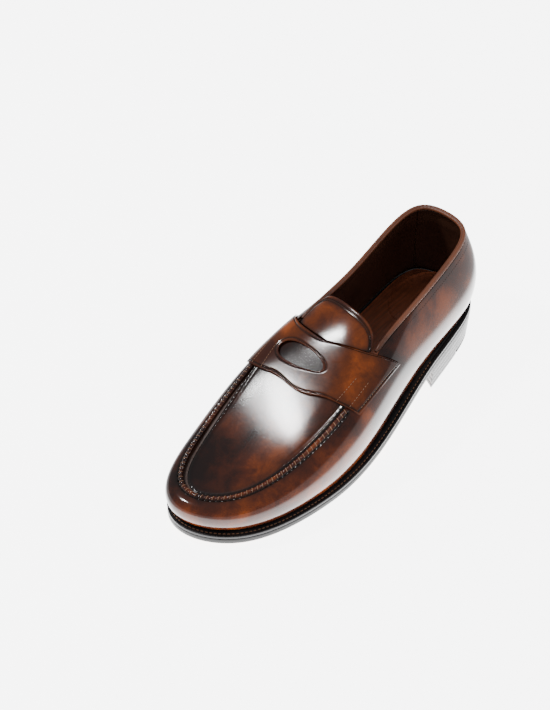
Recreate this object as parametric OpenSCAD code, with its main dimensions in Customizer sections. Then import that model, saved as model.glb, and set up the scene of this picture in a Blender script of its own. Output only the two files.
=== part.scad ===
// Penny loafer for the left foot, built in its separate layers.
// Millimetres. +Z is up, the toe points to -Y and the outer side of the foot to +X.

/* [Last] */
// Length of the upper from heel to toe
last_length = 303; // [240:1:340]
// Width of the upper across the ball of the foot
ball_width = 103; // [82:1:126]
// Height of the instep above the welt, under the strap
instep_height = 79; // [62:1:96]
// Rise of the toe above the ball
toe_spring = 5.2; // [2:0.2:8]

/* [Upper] */
// Thickness of the outer leather
upper_t = 1.3; // [0.9:0.1:1.8]
// Thickness of the lining leather
lining_t = 1.1; // [0.7:0.1:1.5]
// Thickness of the toe puff and of the heel counter
stiffener_t = 0.8; // [0.5:0.1:1.1]
// Diameter of the rolled binding along the topline
binding_d = 3.4; // [2.4:0.1:4.2]

/* [Strap] */
// Thickness of the saddle strap
strap_t = 1.45; // [1:0.05:2]
// Width of the strap at its centre, from its back edge to the toe side
strap_width = 34; // [27:0.5:42]
// Length of the oval slot across the foot
slot_length = 40; // [30:0.5:50]
// Width of the oval slot
slot_width = 15; // [11:0.5:18]

/* [Tongue] */
// Length of the free flap behind the strap
tongue_length = 30; // [22:0.5:36]

/* [Sole] */
// Thickness of the outsole
outsole_t = 5; // [3.5:0.1:7]
// Thickness of the welt
welt_t = 3; // [2:0.1:4]
// Thickness of the insole
insole_t = 3; // [2:0.1:4]
// Thickness of the sock
sock_t = 1; // [0.7:0.1:1.5]
// How far the welt stands out from the upper, as a share of its usual width
welt_reach = 1; // [0.6:0.05:1.3]

/* [Heel] */
// Height of the heel block under the outsole
heel_height = 22.4; // [17:0.2:30]
// Thickness of the top piece at the bottom of the heel
top_piece_t = 5; // [3.5:0.1:6]
// Length of the heel from its front to its back
heel_length = 74; // [60:1:88]

/* [Hidden] */

// Clearance between separate pieces
gap = 0.3;
kx = ball_width / 103;
ky = last_length / 303;
kz = instep_height / 79;

// Levels of the bottom, as seen at the ball and at the heel
ball_z = outsole_t + welt_t + 2 * gap;
seat_z = ball_z + heel_height;
seat_y = (150 - heel_length - 2) * ky;
ball_y = -58 * ky;
spring_y = -70 * ky;
toe_y = -153 * ky;

// The last is a smooth surface held by sixteen columns that run up from the welt.
// They start at the back of the heel and go round the outer side, the toe and the inner side.
// Each has: outline x, outline y, centre line x, centre line y, height, lean,
// and 0 for the closed forepart up to 1 for the open rear.
columns = [
    [3, 150, 1, 112, 95.5, 0, 1],
    [35, 145, 2, 112, 93.5, 0, 1],
    [42, 105, 2, 100, 88, 0, 1],
    [46, 55, 4, 60, 83, 0, 1],
    [53, 12, 5, 14, 79, 0.46, 0.3],
    [58, -32, 3, -28, 59, 0.54, 0],
    [52, -82, 2, -72, 39, 0.36, 0],
    [33, -132, -1, -96, 28, 0.2, 0],
    [-7, -154, -3, -98, 26, 0.2, 0],
    [-35, -138, -1, -96, 28, 0.2, 0],
    [-43, -90, 2, -72, 39, 0.36, 0],
    [-46, -44, 3, -28, 59, 0.54, 0],
    [-37, 5, 5, 14, 79, 0.46, 0.3],
    [-28, 50, 4, 60, 83, 0, 1],
    [-34, 105, 2, 100, 88, 0, 1],
    [-31, 145, 2, 112, 93.5, 0, 1]];
// Reach from the centre line and height of each row, from the welt up
fore_rows = [[0.93, 0], [1, 0.12], [1.05, 0.4], [1, 0.74], [0.84, 0.93], [0.58, 0.985], [0.28, 1], [0, 1]];
rear_rows = [[0.9, 0], [0.98, 0.08], [1.05, 0.26], [0.98, 0.48], [0.86, 0.64], [0.72, 0.8], [0.44, 1], [0, 1]];
lean_rows = [0, 0, 0, 0, 0.3, 0.8, 1, 1];
// Welt beyond the upper, and the share of the height at which the apron seam runs, per column
reach = [1.5, 2, 4, 7, 7, 6, 5, 6, 6, 3.5, 3.5, 4, 1, 0.3, 1, 1.5];
seam = [0.65, 0.65, 0.65, 0.65, 0.65, 0.66, 0.7, 0.72, 0.68, 0.65, 0.64, 0.65, 0.65, 0.65, 0.65, 0.65];
topline = 0.7;

function lerp(a, b, t) = a + (b - a) * t;
function unit(v) = v / norm(v);
function smooth(t) = t <= 0 ? 0 : t >= 1 ? 1 : t * t * (3 - 2 * t);

// Height of the feather line, where the upper meets the welt
function feather_z(y) =
    y > seat_y ? seat_z :
    y > ball_y ? lerp(seat_z, ball_z, smooth(pow((seat_y - y) / (seat_y - ball_y), 0.87))) :
    y > spring_y ? ball_z :
    ball_z + toe_spring * pow((spring_y - y) / (spring_y - toe_y), 2);

function net_point(c, j) =
    let (r = lerp(fore_rows[j][0], rear_rows[j][0], c[6]))
    let (h = lerp(fore_rows[j][1], rear_rows[j][1], c[6]))
    let (y = lerp(c[3], c[1], r) * ky)
    [lerp(c[2], c[0], r) * kx, y,
        feather_z(c[1] * ky) + h * c[4] * kz + c[5] * lean_rows[j] * (y - c[3] * ky)];
net = [for (c = columns) [for (j = [0:7]) net_point(c, j)]];

// Cubic B-splines: closed round the shoe, clamped up its side
knots = [0, 0, 0, 0, 0.2, 0.4, 0.6, 0.8, 1, 1, 1, 1];
function round_weights(t) =
    [pow(1 - t, 3), 3 * t * t * t - 6 * t * t + 4, -3 * t * t * t + 3 * t * t + 3 * t + 1, t * t * t] / 6;
function basis(i, d, v) =
    v < knots[i] || v >= knots[i + d + 1] ? 0 :
    d == 0 ? 1 :
    (knots[i + d] > knots[i] ? (v - knots[i]) / (knots[i + d] - knots[i]) * basis(i, d - 1, v) : 0) +
    (knots[i + d + 1] > knots[i + 1] ?
        (knots[i + d + 1] - v) / (knots[i + d + 1] - knots[i + 1]) * basis(i + 1, d - 1, v) : 0);
function up_weights(v) = [for (i = [0:7]) basis(i, 3, min(max(v, 0), 0.999999))];
function wrap(u) = u - 16 * floor(u / 16);
function per_column(list, u) =
    let (s = wrap(u), i = floor(s), b = round_weights(s - i))
    b[0] * list[(i + 15) % 16] + b[1] * list[i] + b[2] * list[(i + 1) % 16] + b[3] * list[(i + 2) % 16];

// Point of the last at u round the shoe and v up its side
feet = [for (n = net) n[0]];
function feather(u) = let (f = per_column(feet, u)) [f[0], f[1], feather_z(f[1])];
function skin(u, v) =
    let (s = wrap(u), i = floor(s), b = round_weights(s - i), w = up_weights(v))
    let (p = b[0] * (w * net[(i + 15) % 16]) + b[1] * (w * net[i])
        + b[2] * (w * net[(i + 1) % 16]) + b[3] * (w * net[(i + 2) % 16]))
    let (f = per_column(feet, u), k = max(0, 1 - v / 0.35))
    p + [0, 0, (feather_z(f[1]) - f[2]) * k * k];

// The same surface for pieces that cross the instep: a runs to the toe, w is 0 on the ridge,
// positive on the outer side and negative on the inner side
function half(a, w) = w >= 0 ? skin(a, 1 - w) : skin(16 - a, 1 + w);
function over(a, w) = abs(w) > 0.05 ? half(a, w) :
    let (d = 0.05 - abs(w)) (half(a, w - d) + 2 * half(a, w) + half(a, w + d)) / 4;
step = 0.02;
function over_normal(a, w) =
    let (c = min(a, 7.8))
    unit(cross(over(c + step, w) - over(c - step, w), over(c, w + step) - over(c, w - step)));
function normal(u, v) =
    v > 0.96 ? (u <= 8 ? over_normal(u, 1 - v) : over_normal(16 - u, v - 1)) :
    unit(cross(skin(u, v + step) - skin(u, max(v - step, 0)), skin(u + step, v) - skin(u - step, v)));
function at(u, v, d) = skin(u, v) + normal(u, v) * d;
function at_over(a, w, d) = over(a, w) + over_normal(a, w) * d;

// Depths of the layers under the outer face
under = -(upper_t + gap);
function side(u) = min(wrap(u), 16 - wrap(u));
function deeper(u, v) =
    (stiffener_t + gap) * max(smooth((side(u) - 5.8) / 0.7) * (1 - smooth((v - 0.66) / 0.14)),
        (1 - smooth((side(u) - 2.1) / 0.6)) * (1 - smooth((v - 0.52) / 0.12)));
function lining_out(u, v) = under - deeper(u, v);
function lining_in(u, v) = lining_out(u, v) - lining_t;

// Edges of the strap and of what lies under it, along the foot
mm = 1 / (49 * ky);
function strap_back(w) = 4.37 - 0.25 * pow(abs(w) / 0.28, 1.2);
function strap_front(w) =
    4.37 + strap_width * mm - 0.19 * pow(abs(w) / 0.5, 1.7) + 0.1 * exp(-pow((w - 0.03) / 0.1, 2));
function strap_end(a) = 0.51 + 0.06 * (4.84 - a);
function apron_back(w) = 4.43 - min(0.09, 0.25 * pow(abs(w) / 0.28, 1.2));
function seam_v(u) = per_column(seam, u);
function wall_top(u) = lerp(topline, seam_v(u) - 0.004, smooth((side(u) - 4) / 0.2));
tongue_w = 0.225;
function tongue_end(t) = 4.37 - tongue_length * 0.021 + 0.8 * tongue_w * t + 0.17 * pow(t, 4);

// Outlines of the bottom in plan
function out_dir(u) = let (t = unit(per_column(feet, u + step) - per_column(feet, u - step))) [-t[1], t[0]];
function edge(u, grow) = let (f = feather(u)) [f[0], f[1]] + out_dir(u) * grow;
function reach_at(u) = per_column(reach, u) * welt_reach;
function outline(grow, beyond) =
    [for (k = [0:159]) edge(k / 10, grow + (beyond ? reach_at(k / 10) : 0))];
sole_outline = outline(0, true);

// The side wall's outer face, and the middle of the shoe's box
round_steps = [for (k = [0:80]) k == 0 ? 0.008 : k == 80 ? 15.992 : k / 5];
wall_face = [for (u = round_steps) [for (j = [0:9]) skin(u, wall_top(u) * j / 9)]];
wall_flat = [for (r = wall_face) for (p = r) p];
xs = concat([for (p = wall_flat) p[0]], [for (p = sole_outline) p[0]]);
ys = concat([for (p = wall_flat) p[1]], [for (p = sole_outline) p[1]]);
mid = [(max(xs) + min(xs)) / 2, (max(ys) + min(ys)) / 2];

module placed() translate([-mid[0], -mid[1], 0]) children();

// A sheet between two grids of points; rows run round, and each row runs up
module sheet(top, bottom, closed = false) {
    n = len(top);
    m = len(top[0]);
    last = closed ? n - 1 : n - 2;
    function t(i, j) = (i % n) * m + j;
    function b(i, j) = n * m + (i % n) * m + j;
    faces = [for (i = [0:last]) each concat(
        [for (j = [0:m - 2]) each [
            [t(i, j), t(i + 1, j), t(i + 1, j + 1)], [t(i, j), t(i + 1, j + 1), t(i, j + 1)],
            [b(i, j), b(i + 1, j + 1), b(i + 1, j)], [b(i, j), b(i, j + 1), b(i + 1, j + 1)]]],
        [[t(i + 1, 0), t(i, 0), b(i, 0)], [t(i + 1, 0), b(i, 0), b(i + 1, 0)],
            [t(i, m - 1), t(i + 1, m - 1), b(i + 1, m - 1)], [t(i, m - 1), b(i + 1, m - 1), b(i, m - 1)]])];
    ends = closed ? [] : [for (j = [0:m - 2]) each [
        [t(0, j), t(0, j + 1), b(0, j + 1)], [t(0, j), b(0, j + 1), b(0, j)],
        [t(n - 1, j + 1), t(n - 1, j), b(n - 1, j)], [t(n - 1, j + 1), b(n - 1, j), b(n - 1, j + 1)]]];
    polyhedron(points = concat([for (r = top) each r], [for (r = bottom) each r]),
        faces = concat(faces, ends), convexity = 10);
}

// A sheet that is folded over the ridge: its two halves share their last points
module folded_sheet(top, bottom) {
    n = len(top);
    m = len(top[0]);
    function t(i, j) = j == m - 1 && i > (n - 1) / 2 ? (n - 1 - i) * m + j : i * m + j;
    function b(i, j) = n * m + t(i, j);
    faces = [for (i = [0:n - 2]) each concat(
        [for (j = [0:m - 2]) each [
            [t(i, j), t(i + 1, j), t(i + 1, j + 1)], [t(i, j), t(i + 1, j + 1), t(i, j + 1)],
            [b(i, j), b(i + 1, j + 1), b(i + 1, j)], [b(i, j), b(i, j + 1), b(i + 1, j + 1)]]],
        [[t(i + 1, 0), t(i, 0), b(i, 0)], [t(i + 1, 0), b(i, 0), b(i + 1, 0)]])];
    ends = [for (j = [0:m - 2]) each [
        [t(0, j), t(0, j + 1), b(0, j + 1)], [t(0, j), b(0, j + 1), b(0, j)],
        [t(n - 1, j + 1), t(n - 1, j), b(n - 1, j)], [t(n - 1, j + 1), b(n - 1, j), b(n - 1, j + 1)]]];
    polyhedron(points = concat([for (r = top) each r], [for (r = bottom) each r]),
        faces = concat(faces, ends), convexity = 10);
}

// A closed band of leather from u0 to u1 and v0 to v1, between two depths
module patch(u0, u1, v0, v1, rows, outer, inner) {
    first = ceil(u0 * 5 + 0.2);
    end = floor(u1 * 5 - 0.2);
    us = concat([u0], [for (k = [first:end]) k / 5], [u1]);
    sheet([for (u = us) [for (j = [0:rows]) let (v = lerp(v0, v1, j / rows)) at(u, v, outer(u, v))]],
        [for (u = us) [for (j = [0:rows]) let (v = lerp(v0, v1, j / rows)) at(u, v, inner(u, v))]]);
}

// Widest and narrowest x of an outline at one y
function span(list, y) =
    let (n = len(list))
    let (x = [for (i = [0:n - 1]) let (a = list[i], b = list[(i + 1) % n])
        if ((a[1] < y) != (b[1] < y)) lerp(a[0], b[0], (y - a[1]) / (b[1] - a[1]))])
    [max(x), min(x)];

// A flat piece cut to an outline, which follows the bottom of the foot between two levels
module plate(list, low, high, front, back, rows = 56) {
    y1 = min(back, max([for (p = list) p[1]]) - 0.1);
    y0 = max(front, min([for (p = list) p[1]]) + 0.1);
    ys = [for (i = [0:rows]) lerp(y0, y1, (1 + cos(180 * i / rows)) / 2)];
    spans = [for (y = ys) span(list, y)];
    sheet([for (i = [0:rows]) [for (x = spans[i]) [x, ys[i], feather_z(ys[i]) + high]]],
        [for (i = [0:rows]) [for (x = spans[i]) [x, ys[i], feather_z(ys[i]) + low]]]);
}

// A ring that follows the bottom, between two distances from the feather line
module ring(u0, u1, inner, outer, beyond, low, high) {
    count = ceil((u1 - u0) * 5);
    pts = [for (k = [0:count]) let (u = lerp(u0, u1, k / count))
        [edge(u, outer + (beyond ? reach_at(u) : 0)), edge(u, inner)]];
    sheet([for (r = pts) [for (p = r) [p[0], p[1], feather_z(p[1]) + high]]],
        [for (r = pts) [for (p = r) [p[0], p[1], feather_z(p[1]) + low]]]);
}

// Upper
module side_wall() color([0.32, 0.16, 0.1]) placed()
    sheet(wall_face, [for (u = round_steps) [for (j = [0:9]) at(u, wall_top(u) * j / 9, -upper_t)]]);

fold_steps = [for (k = [22:58]) k / 5];
function fold_grid(edge_v, rows, depth) =
    [for (k = fold_steps) let (edge_w = 1 - edge_v(k)) [for (j = [0:rows])
        let (w = edge_w * (1 - j / rows), u = k < 4.5 ? apron_back(w) : k > 11.5 ? 16 - apron_back(w) : k)
        j == rows ? at_over(side(u), 0, depth(u, 1)) : at(u, 1 - w, depth(u, 1 - w))]];

module apron() color([0.36, 0.17, 0.09]) placed()
    folded_sheet(fold_grid(function (u) seam_v(u) + 0.004, 7, function (u, v) 0),
        fold_grid(function (u) seam_v(u) + 0.004, 7, function (u, v) -upper_t));

module vamp_lining() color([0.3, 0.17, 0.12]) placed()
    folded_sheet(fold_grid(function (u) 0.02, 14, function (u, v) lining_out(u, v)),
        fold_grid(function (u) 0.02, 14, function (u, v) lining_in(u, v)));

function slot_point(angle) =
    [4.37 + 0.4 * strap_width * mm + 0.023 + 0.07 * cos(angle) - 0.01 * slot_width * sin(angle),
        -0.08 + 0.0035 * slot_length * cos(angle)];
strap_rim = concat(
    [for (k = [0:5]) let (a = lerp(strap_front(0.51), strap_back(0.57), k / 6)) [a, strap_end(a), lerp(-30, 30, k / 6)]],
    [for (k = [0:25]) let (t = 1 - k / 13, w = 0.573 * t) [strap_back(w), w, 90 - 60 * sin(90 * t)]],
    [for (k = [0:5]) let (a = lerp(strap_back(0.57), strap_front(0.51), k / 6)) [a, -strap_end(a), lerp(150, 210, k / 6)]],
    [for (k = [0:27]) let (t = k / 14 - 1, w = 0.51 * t) [strap_front(w), w, 270 + 60 * sin(90 * t)]]);
function strap_grid(depth) =
    [for (r = strap_rim) let (s = slot_point(r[2])) [for (j = [0:8])
        at_over(lerp(s[0], r[0], j / 8), lerp(s[1], r[1], j / 8), depth)]];

module saddle_strap() color([0.42, 0.22, 0.13]) placed()
    sheet(strap_grid(gap + strap_t), strap_grid(gap + 0.15), closed = true);

function tongue_grid(depth, trim) =
    [for (i = [0:12]) [for (j = [0:14])
        let (t = 1 - j / 7, w = tongue_w * t * (1 - trim))
        at_over(lerp(tongue_end(t) + trim, strap_back(w) - 0.015 - trim * 0.3, 1 - i / 12), w, depth)]];

module tongue() color([0.46, 0.2, 0.09]) placed()
    sheet(tongue_grid(-upper_t, 0), tongue_grid(0, 0));

module tongue_lining() color([0.35, 0.19, 0.12]) placed()
    sheet(tongue_grid(under - lining_t, 0.03), tongue_grid(under, 0.03));

module quarter_lining_lateral() color([0.3, 0.17, 0.12]) placed()
    patch(1.01, 4.32, 0.02, topline - 0.01, 9, function (u, v) lining_out(u, v), function (u, v) lining_in(u, v));

module quarter_lining_medial() color([0.3, 0.17, 0.12]) placed()
    patch(11.68, 14.99, 0.02, topline - 0.01, 9, function (u, v) lining_out(u, v), function (u, v) lining_in(u, v));

module heel_lining() color([0.34, 0.2, 0.15]) placed()
    patch(-0.99, 0.99, 0.02, topline - 0.01, 9, function (u, v) lining_out(u, v), function (u, v) lining_in(u, v));

module toe_puff() color([0.6, 0.5, 0.38]) placed()
    patch(6.6, 9.4, 0.03, 0.61, 7, function (u, v) under, function (u, v) under - stiffener_t);

module heel_counter() color([0.6, 0.5, 0.38]) placed()
    patch(-2, 2, 0.03, 0.5, 6, function (u, v) under, function (u, v) under - stiffener_t);

module topline_binding() color([0.45, 0.28, 0.2]) placed() {
    r = binding_d / 2;
    rings = [for (k = [0:80]) let (u = lerp(-4.05, 4.05, k / 80), p = skin(u, topline), n = normal(u, topline))
        let (up = unit(skin(u, topline + 0.01) - skin(u, topline - 0.01)))
        let (c = p + up * (r + gap) - n * (r - 0.35))
        [for (j = [0:9]) c + r * (cos(36 * j) * n + sin(36 * j) * up)]];
    count = len(rings);
    polyhedron(points = [for (g = rings) each g], convexity = 10, faces = concat(
        [for (i = [0:count - 2]) for (j = [0:9]) each [
            [i * 10 + j, i * 10 + 10 + j, i * 10 + 10 + (j + 1) % 10],
            [i * 10 + j, i * 10 + 10 + (j + 1) % 10, i * 10 + (j + 1) % 10]]],
        [[for (j = [0:9]) j], [for (j = [0:9]) (count - 1) * 10 + 9 - j]]));
}

module heel_tab() color([0.2, 0.1, 0.07]) placed()
    patch(-0.24, 0.24, 0.5, topline - 0.02, 5, function (u, v) gap + 1, function (u, v) gap);

// Bottom
low_bottom = -(2 * gap + welt_t + outsole_t);
core_low = -(gap + welt_t);
heel_front = 150 * ky - heel_length * ky;

module welt() color([0.14, 0.11, 0.1]) placed() ring(2.55, 13.45, -3, 0, true, core_low, -gap);

module heel_rand() color([0.14, 0.11, 0.1]) placed() ring(-2.5, 2.5, -3, 0, true, core_low, -gap);

module insole_rib() color([0.75, 0.68, 0.55]) placed() ring(2.65, 13.35, -6, -3.4, false, core_low, -gap);

module cork_filler() color([0.62, 0.45, 0.28]) placed() difference() {
    plate(outline(-6.4, false), core_low, -gap, -400, heel_front - 2);
    plate(shank_outline(gap), core_low + 0.7, gap, -26 * ky, 71 * ky, 24);
}

function shank_outline(grow) =
    [[7 + grow, 400], [7 + grow, -400], [-7 - grow, -400], [-7 - grow, 400]];

module shank() color([0.6, 0.62, 0.65]) placed()
    plate(shank_outline(0), core_low + 0.7 + gap, -gap - 0.2, -25 * ky, 69 * ky, 24);

module seat_filler() color([0.66, 0.5, 0.34]) placed()
    plate(outline(-3.4, false), core_low, -gap, heel_front - 1.5, 400);

module insole() color([0.72, 0.55, 0.38]) placed()
    plate(outline(-4.8, false), 0, insole_t, -400, 400);

module sock_lining() color([0.3, 0.13, 0.08]) placed()
    plate(outline(-5.6, false), insole_t + gap, insole_t + gap + sock_t, -400, 400);

module outsole() color([0.3, 0.22, 0.17]) placed()
    plate(sole_outline, low_bottom, core_low - gap, -400, 400, 72);

// Heel block: lifts that are cut to the heel's outline with a hollow front
lift_t = (heel_height - top_piece_t - 4 * gap) / 3;
breast_r = 90 * kx;
module heel_shape(trim) difference() {
    polygon(outline(-trim, true));
    translate([0, heel_front + 6 - breast_r]) circle(r = breast_r, $fn = 96);
    translate([-300, -600]) square([600, 600 + 10 * ky]);
}
module lift(index) placed()
    translate([0, 0, top_piece_t + gap + (3 - index) * (lift_t + gap)])
        linear_extrude(lift_t) heel_shape(0.5 * index);

module heel_lift_1() color([0.2, 0.17, 0.16]) lift(1);

module heel_lift_2() color([0.22, 0.18, 0.17]) lift(2);

module heel_lift_3() color([0.2, 0.17, 0.16]) lift(3);

tip_y = 150 * ky - heel_length * ky * 0.42;
module tip_curve(grow) translate([0, tip_y - breast_r]) circle(r = breast_r + grow, $fn = 96);

module top_piece() color([0.24, 0.19, 0.17]) placed() linear_extrude(top_piece_t) intersection() {
    heel_shape(2);
    tip_curve(-gap);
}

module top_piece_rubber() color([0.07, 0.07, 0.07]) placed() linear_extrude(top_piece_t) difference() {
    heel_shape(2);
    tip_curve(0);
}

side_wall();
apron();
saddle_strap();
tongue();
tongue_lining();
vamp_lining();
quarter_lining_lateral();
quarter_lining_medial();
heel_lining();
toe_puff();
heel_counter();
topline_binding();
heel_tab();
sock_lining();
insole();
insole_rib();
shank();
cork_filler();
seat_filler();
welt();
heel_rand();
outsole();
heel_lift_1();
heel_lift_2();
heel_lift_3();
top_piece();
top_piece_rubber();
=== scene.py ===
"""A hand-burnished leather loafer on a stacked heel, laid out piece by piece as a Blender add-on."""
import math

import bpy
import numpy as np
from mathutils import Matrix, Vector


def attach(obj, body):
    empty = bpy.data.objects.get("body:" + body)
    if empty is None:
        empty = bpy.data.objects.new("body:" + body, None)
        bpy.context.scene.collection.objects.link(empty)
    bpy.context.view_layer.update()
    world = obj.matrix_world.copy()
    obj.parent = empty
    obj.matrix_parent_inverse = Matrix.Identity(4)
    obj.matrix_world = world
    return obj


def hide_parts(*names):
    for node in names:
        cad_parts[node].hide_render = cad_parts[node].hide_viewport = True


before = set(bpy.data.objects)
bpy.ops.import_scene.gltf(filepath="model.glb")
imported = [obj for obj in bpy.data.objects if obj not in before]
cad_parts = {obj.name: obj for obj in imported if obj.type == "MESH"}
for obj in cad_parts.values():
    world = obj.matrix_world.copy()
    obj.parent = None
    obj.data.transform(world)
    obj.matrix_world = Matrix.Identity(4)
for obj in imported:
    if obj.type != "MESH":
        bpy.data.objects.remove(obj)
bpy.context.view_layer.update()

bl_info = {
    "name": "Leather Loafer",
    "version": (1, 0, 0),
    "blender": (4, 5, 0),
    "location": "3D View > Sidebar > Loafer",
    "description": "Builds a stitched leather loafer, one piece at a time, on its packed frame",
    "category": "Object",
}

# ---------------------------------------------------------------- the last
# The last is a smooth surface held by sixteen columns, from the heel's back round the outer side.
# Each has: outline x and y, centre line x and y, height, lean, and 1 where the shoe is open above.
COLUMNS = [
    (3, 150, 1, 112, 95.5, 0, 1), (35, 145, 2, 112, 93.5, 0, 1), (42, 105, 2, 100, 88, 0, 1),
    (46, 55, 4, 60, 83, 0, 1), (53, 12, 5, 14, 79, .46, .3), (58, -32, 3, -28, 59, .54, 0),
    (52, -82, 2, -72, 39, .36, 0), (33, -132, -1, -96, 28, .2, 0), (-7, -154, -3, -98, 26, .2, 0),
    (-35, -138, -1, -96, 28, .2, 0), (-43, -90, 2, -72, 39, .36, 0), (-46, -44, 3, -28, 59, .54, 0),
    (-37, 5, 5, 14, 79, .46, .3), (-28, 50, 4, 60, 83, 0, 1), (-34, 105, 2, 100, 88, 0, 1),
    (-31, 145, 2, 112, 93.5, 0, 1)]
FORE_ROWS = [(.93, 0), (1, .12), (1.05, .4), (1, .74), (.84, .93), (.58, .985), (.28, 1), (0, 1)]
REAR_ROWS = [(.9, 0), (.98, .08), (1.05, .26), (.98, .48), (.86, .64), (.72, .8), (.44, 1), (0, 1)]
LEAN_ROWS = [0, 0, 0, 0, .3, .8, 1, 1]
WELT_REACH = np.array([1.5, 2, 4, 7, 7, 6, 5, 6, 6, 3.5, 3.5, 4, 1, .3, 1, 1.5])
SEAM_SHARE = np.array([.65, .65, .65, .65, .65, .66, .7, .72, .68, .65, .64, .65, .65, .65, .65, .65])
KNOTS = [0, 0, 0, 0, .2, .4, .6, .8, 1, 1, 1, 1]
TOPLINE = .7
BALL_Z, HEEL_HEIGHT, SEAT_Y, BALL_Y, SPRING_Y, TOE_Y = 8.6, 22.4, 74., -58., -70., -153.
BREAST_RADIUS, HEEL_FRONT, TIP_Y, TOP_PIECE, GAP = 90., 76., 118.92, 5., .3
STEP = .02  # how far the normals look along the surface
CROWN = .17  # half the width over which the ridge is rounded
LEATHER, STRAP_LEATHER, LINING, TONGUE_LINING = 1.25, 1.35, 1.1, 1.05
APRON_BACK, APRON_HOLD, TONGUE_HALF, BINDING_END, RAND_END = 4.36, 4.8, .225, 4.05, 2.528


def smooth(t):
    t = np.clip(t, 0, 1)
    return t * t * (3 - 2 * t)


def bump_at(x, centre, width):
    return np.exp(-((x - centre) / width) ** 2)


def feather_z(y):
    y = np.asarray(y, float)
    fall = smooth(np.clip((SEAT_Y - y) / (SEAT_Y - BALL_Y), 0, 1) ** .87)
    spring = 5.2 * (np.clip(SPRING_Y - y, 0, None) / (SPRING_Y - TOE_Y)) ** 2
    return BALL_Z + HEEL_HEIGHT * (1 - fall) + spring


def make_net():
    net = np.zeros((16, 8, 3))
    for i, (ox, oy, cx, cy, high, lean, rear) in enumerate(COLUMNS):
        for j in range(8):
            r = FORE_ROWS[j][0] * (1 - rear) + REAR_ROWS[j][0] * rear
            h = FORE_ROWS[j][1] * (1 - rear) + REAR_ROWS[j][1] * rear
            y = cy + r * (oy - cy)
            z = feather_z(oy) + h * high + lean * LEAN_ROWS[j] * (y - cy)
            net[i, j] = (cx + r * (ox - cx), y, z)
    return net


NET = make_net()
SPINE = np.array([(c[2], c[3]) for c in COLUMNS], float)


def round_weights(t):
    return np.stack([(1 - t) ** 3, 3 * t ** 3 - 6 * t ** 2 + 4, -3 * t ** 3 + 3 * t ** 2 + 3 * t + 1, t ** 3], -1) / 6


def up_weights(v):
    v = np.clip(v, 0, .999999)
    b = [np.where((v >= KNOTS[i]) & (v < KNOTS[i + 1]), 1., 0.) for i in range(11)]
    for d in range(1, 4):
        for i in range(11 - d):
            low, high = KNOTS[i + d] - KNOTS[i], KNOTS[i + d + 1] - KNOTS[i + 1]
            one = (v - KNOTS[i]) / low if low > 0 else 0
            two = (KNOTS[i + d + 1] - v) / high if high > 0 else 0
            b[i] = one * b[i] + two * b[i + 1]
    return np.stack(b[:8], -1)


def per_column(values, u):
    u = np.mod(np.asarray(u, float), 16)
    i = np.floor(u).astype(int)
    pick = values[(i[..., None] + np.arange(-1, 3)) % 16]
    b = round_weights(u - i)
    return np.einsum("...k,...k->...", b, pick) if values.ndim == 1 else np.einsum("...k,...kd->...d", b, pick)


def skin(u, v):
    """Point of the last at u round the shoe and v up its side."""
    u, v = np.broadcast_arrays(np.asarray(u, float), np.asarray(v, float))
    s = np.mod(u, 16)
    i = np.floor(s).astype(int) % 16
    pick = NET[(i[..., None] + np.arange(-1, 3)) % 16]
    p = np.einsum("...k,...j,...kjd->...d", round_weights(s - np.floor(s)), up_weights(v), pick)
    f = per_column(NET[:, 0], u)
    p[..., 2] += (feather_z(f[..., 1]) - f[..., 2]) * np.clip(1 - v / .35, 0, None) ** 2
    return p


def half(a, w):
    return skin(np.where(w >= 0, a, 16 - a), 1 - np.abs(w))


def over(a, w):
    """The same surface across the instep: a runs to the toe, and w is 0 on the ridge."""
    a, w = np.broadcast_arrays(np.asarray(a, float), np.asarray(w, float))
    plain = half(a, w)
    if (np.abs(w) >= CROWN).all():
        return plain
    # The crown of the instep is rounded over between the two sides
    ends = [half(a, CROWN * sign + 0 * w) for sign in (-1, 1)]
    slopes = [(half(a, (CROWN + .01) * sign + 0 * w) - end) * sign / .01 for sign, end in zip((-1, 1), ends)]
    t = np.clip((w + CROWN) / (2 * CROWN), 0, 1)[..., None]
    reach = 2 * CROWN
    curve = (ends[0] * (2 * t ** 3 - 3 * t ** 2 + 1) + slopes[0] * reach * (t ** 3 - 2 * t ** 2 + t)
             + ends[1] * (3 * t ** 2 - 2 * t ** 3) + slopes[1] * reach * (t ** 3 - t ** 2))
    return np.where((np.abs(w) < CROWN)[..., None], curve, plain)


def unit(v):
    return v / np.maximum(np.linalg.norm(v, axis=-1, keepdims=True), 1e-12)


def over_normal(a, w):
    c = np.minimum(a, 7.8)
    return unit(np.cross(over(c + STEP, w) - over(c - STEP, w), over(c, w + STEP) - over(c, w - STEP)))


def normal(u, v):
    u, v = np.broadcast_arrays(np.asarray(u, float), np.asarray(v, float))
    n = unit(np.cross(skin(u, v + STEP) - skin(u, np.maximum(v - STEP, 0)), skin(u + STEP, v) - skin(u - STEP, v)))
    m = over_normal(np.where(u <= 8, u, 16 - u), np.where(u <= 8, 1 - v, v - 1))
    return np.where((v > .96)[..., None], m, n)


def at(u, v, d):
    return skin(u, v) + normal(u, v) * np.asarray(d, float)[..., None]


def at_over(a, w, d):
    return over(a, w) + over_normal(a, w) * np.asarray(d, float)[..., None]


def side(u):
    u = np.mod(u, 16)
    return np.minimum(u, 16 - u)


def seam_v(u):
    return per_column(SEAM_SHARE, u)


def wall_top(u):
    k = smooth((side(u) - 4) / .2)
    return TOPLINE * (1 - k) + (seam_v(u) - .004) * k


def feather(u):
    f = per_column(NET[:, 0], u)
    f[..., 2] = feather_z(f[..., 1])
    return f


def out_dir(u):
    t = per_column(NET[:, 0], u + STEP) - per_column(NET[:, 0], u - STEP)
    t = unit(t[..., :2])
    return np.stack([-t[..., 1], t[..., 0]], -1)


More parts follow.
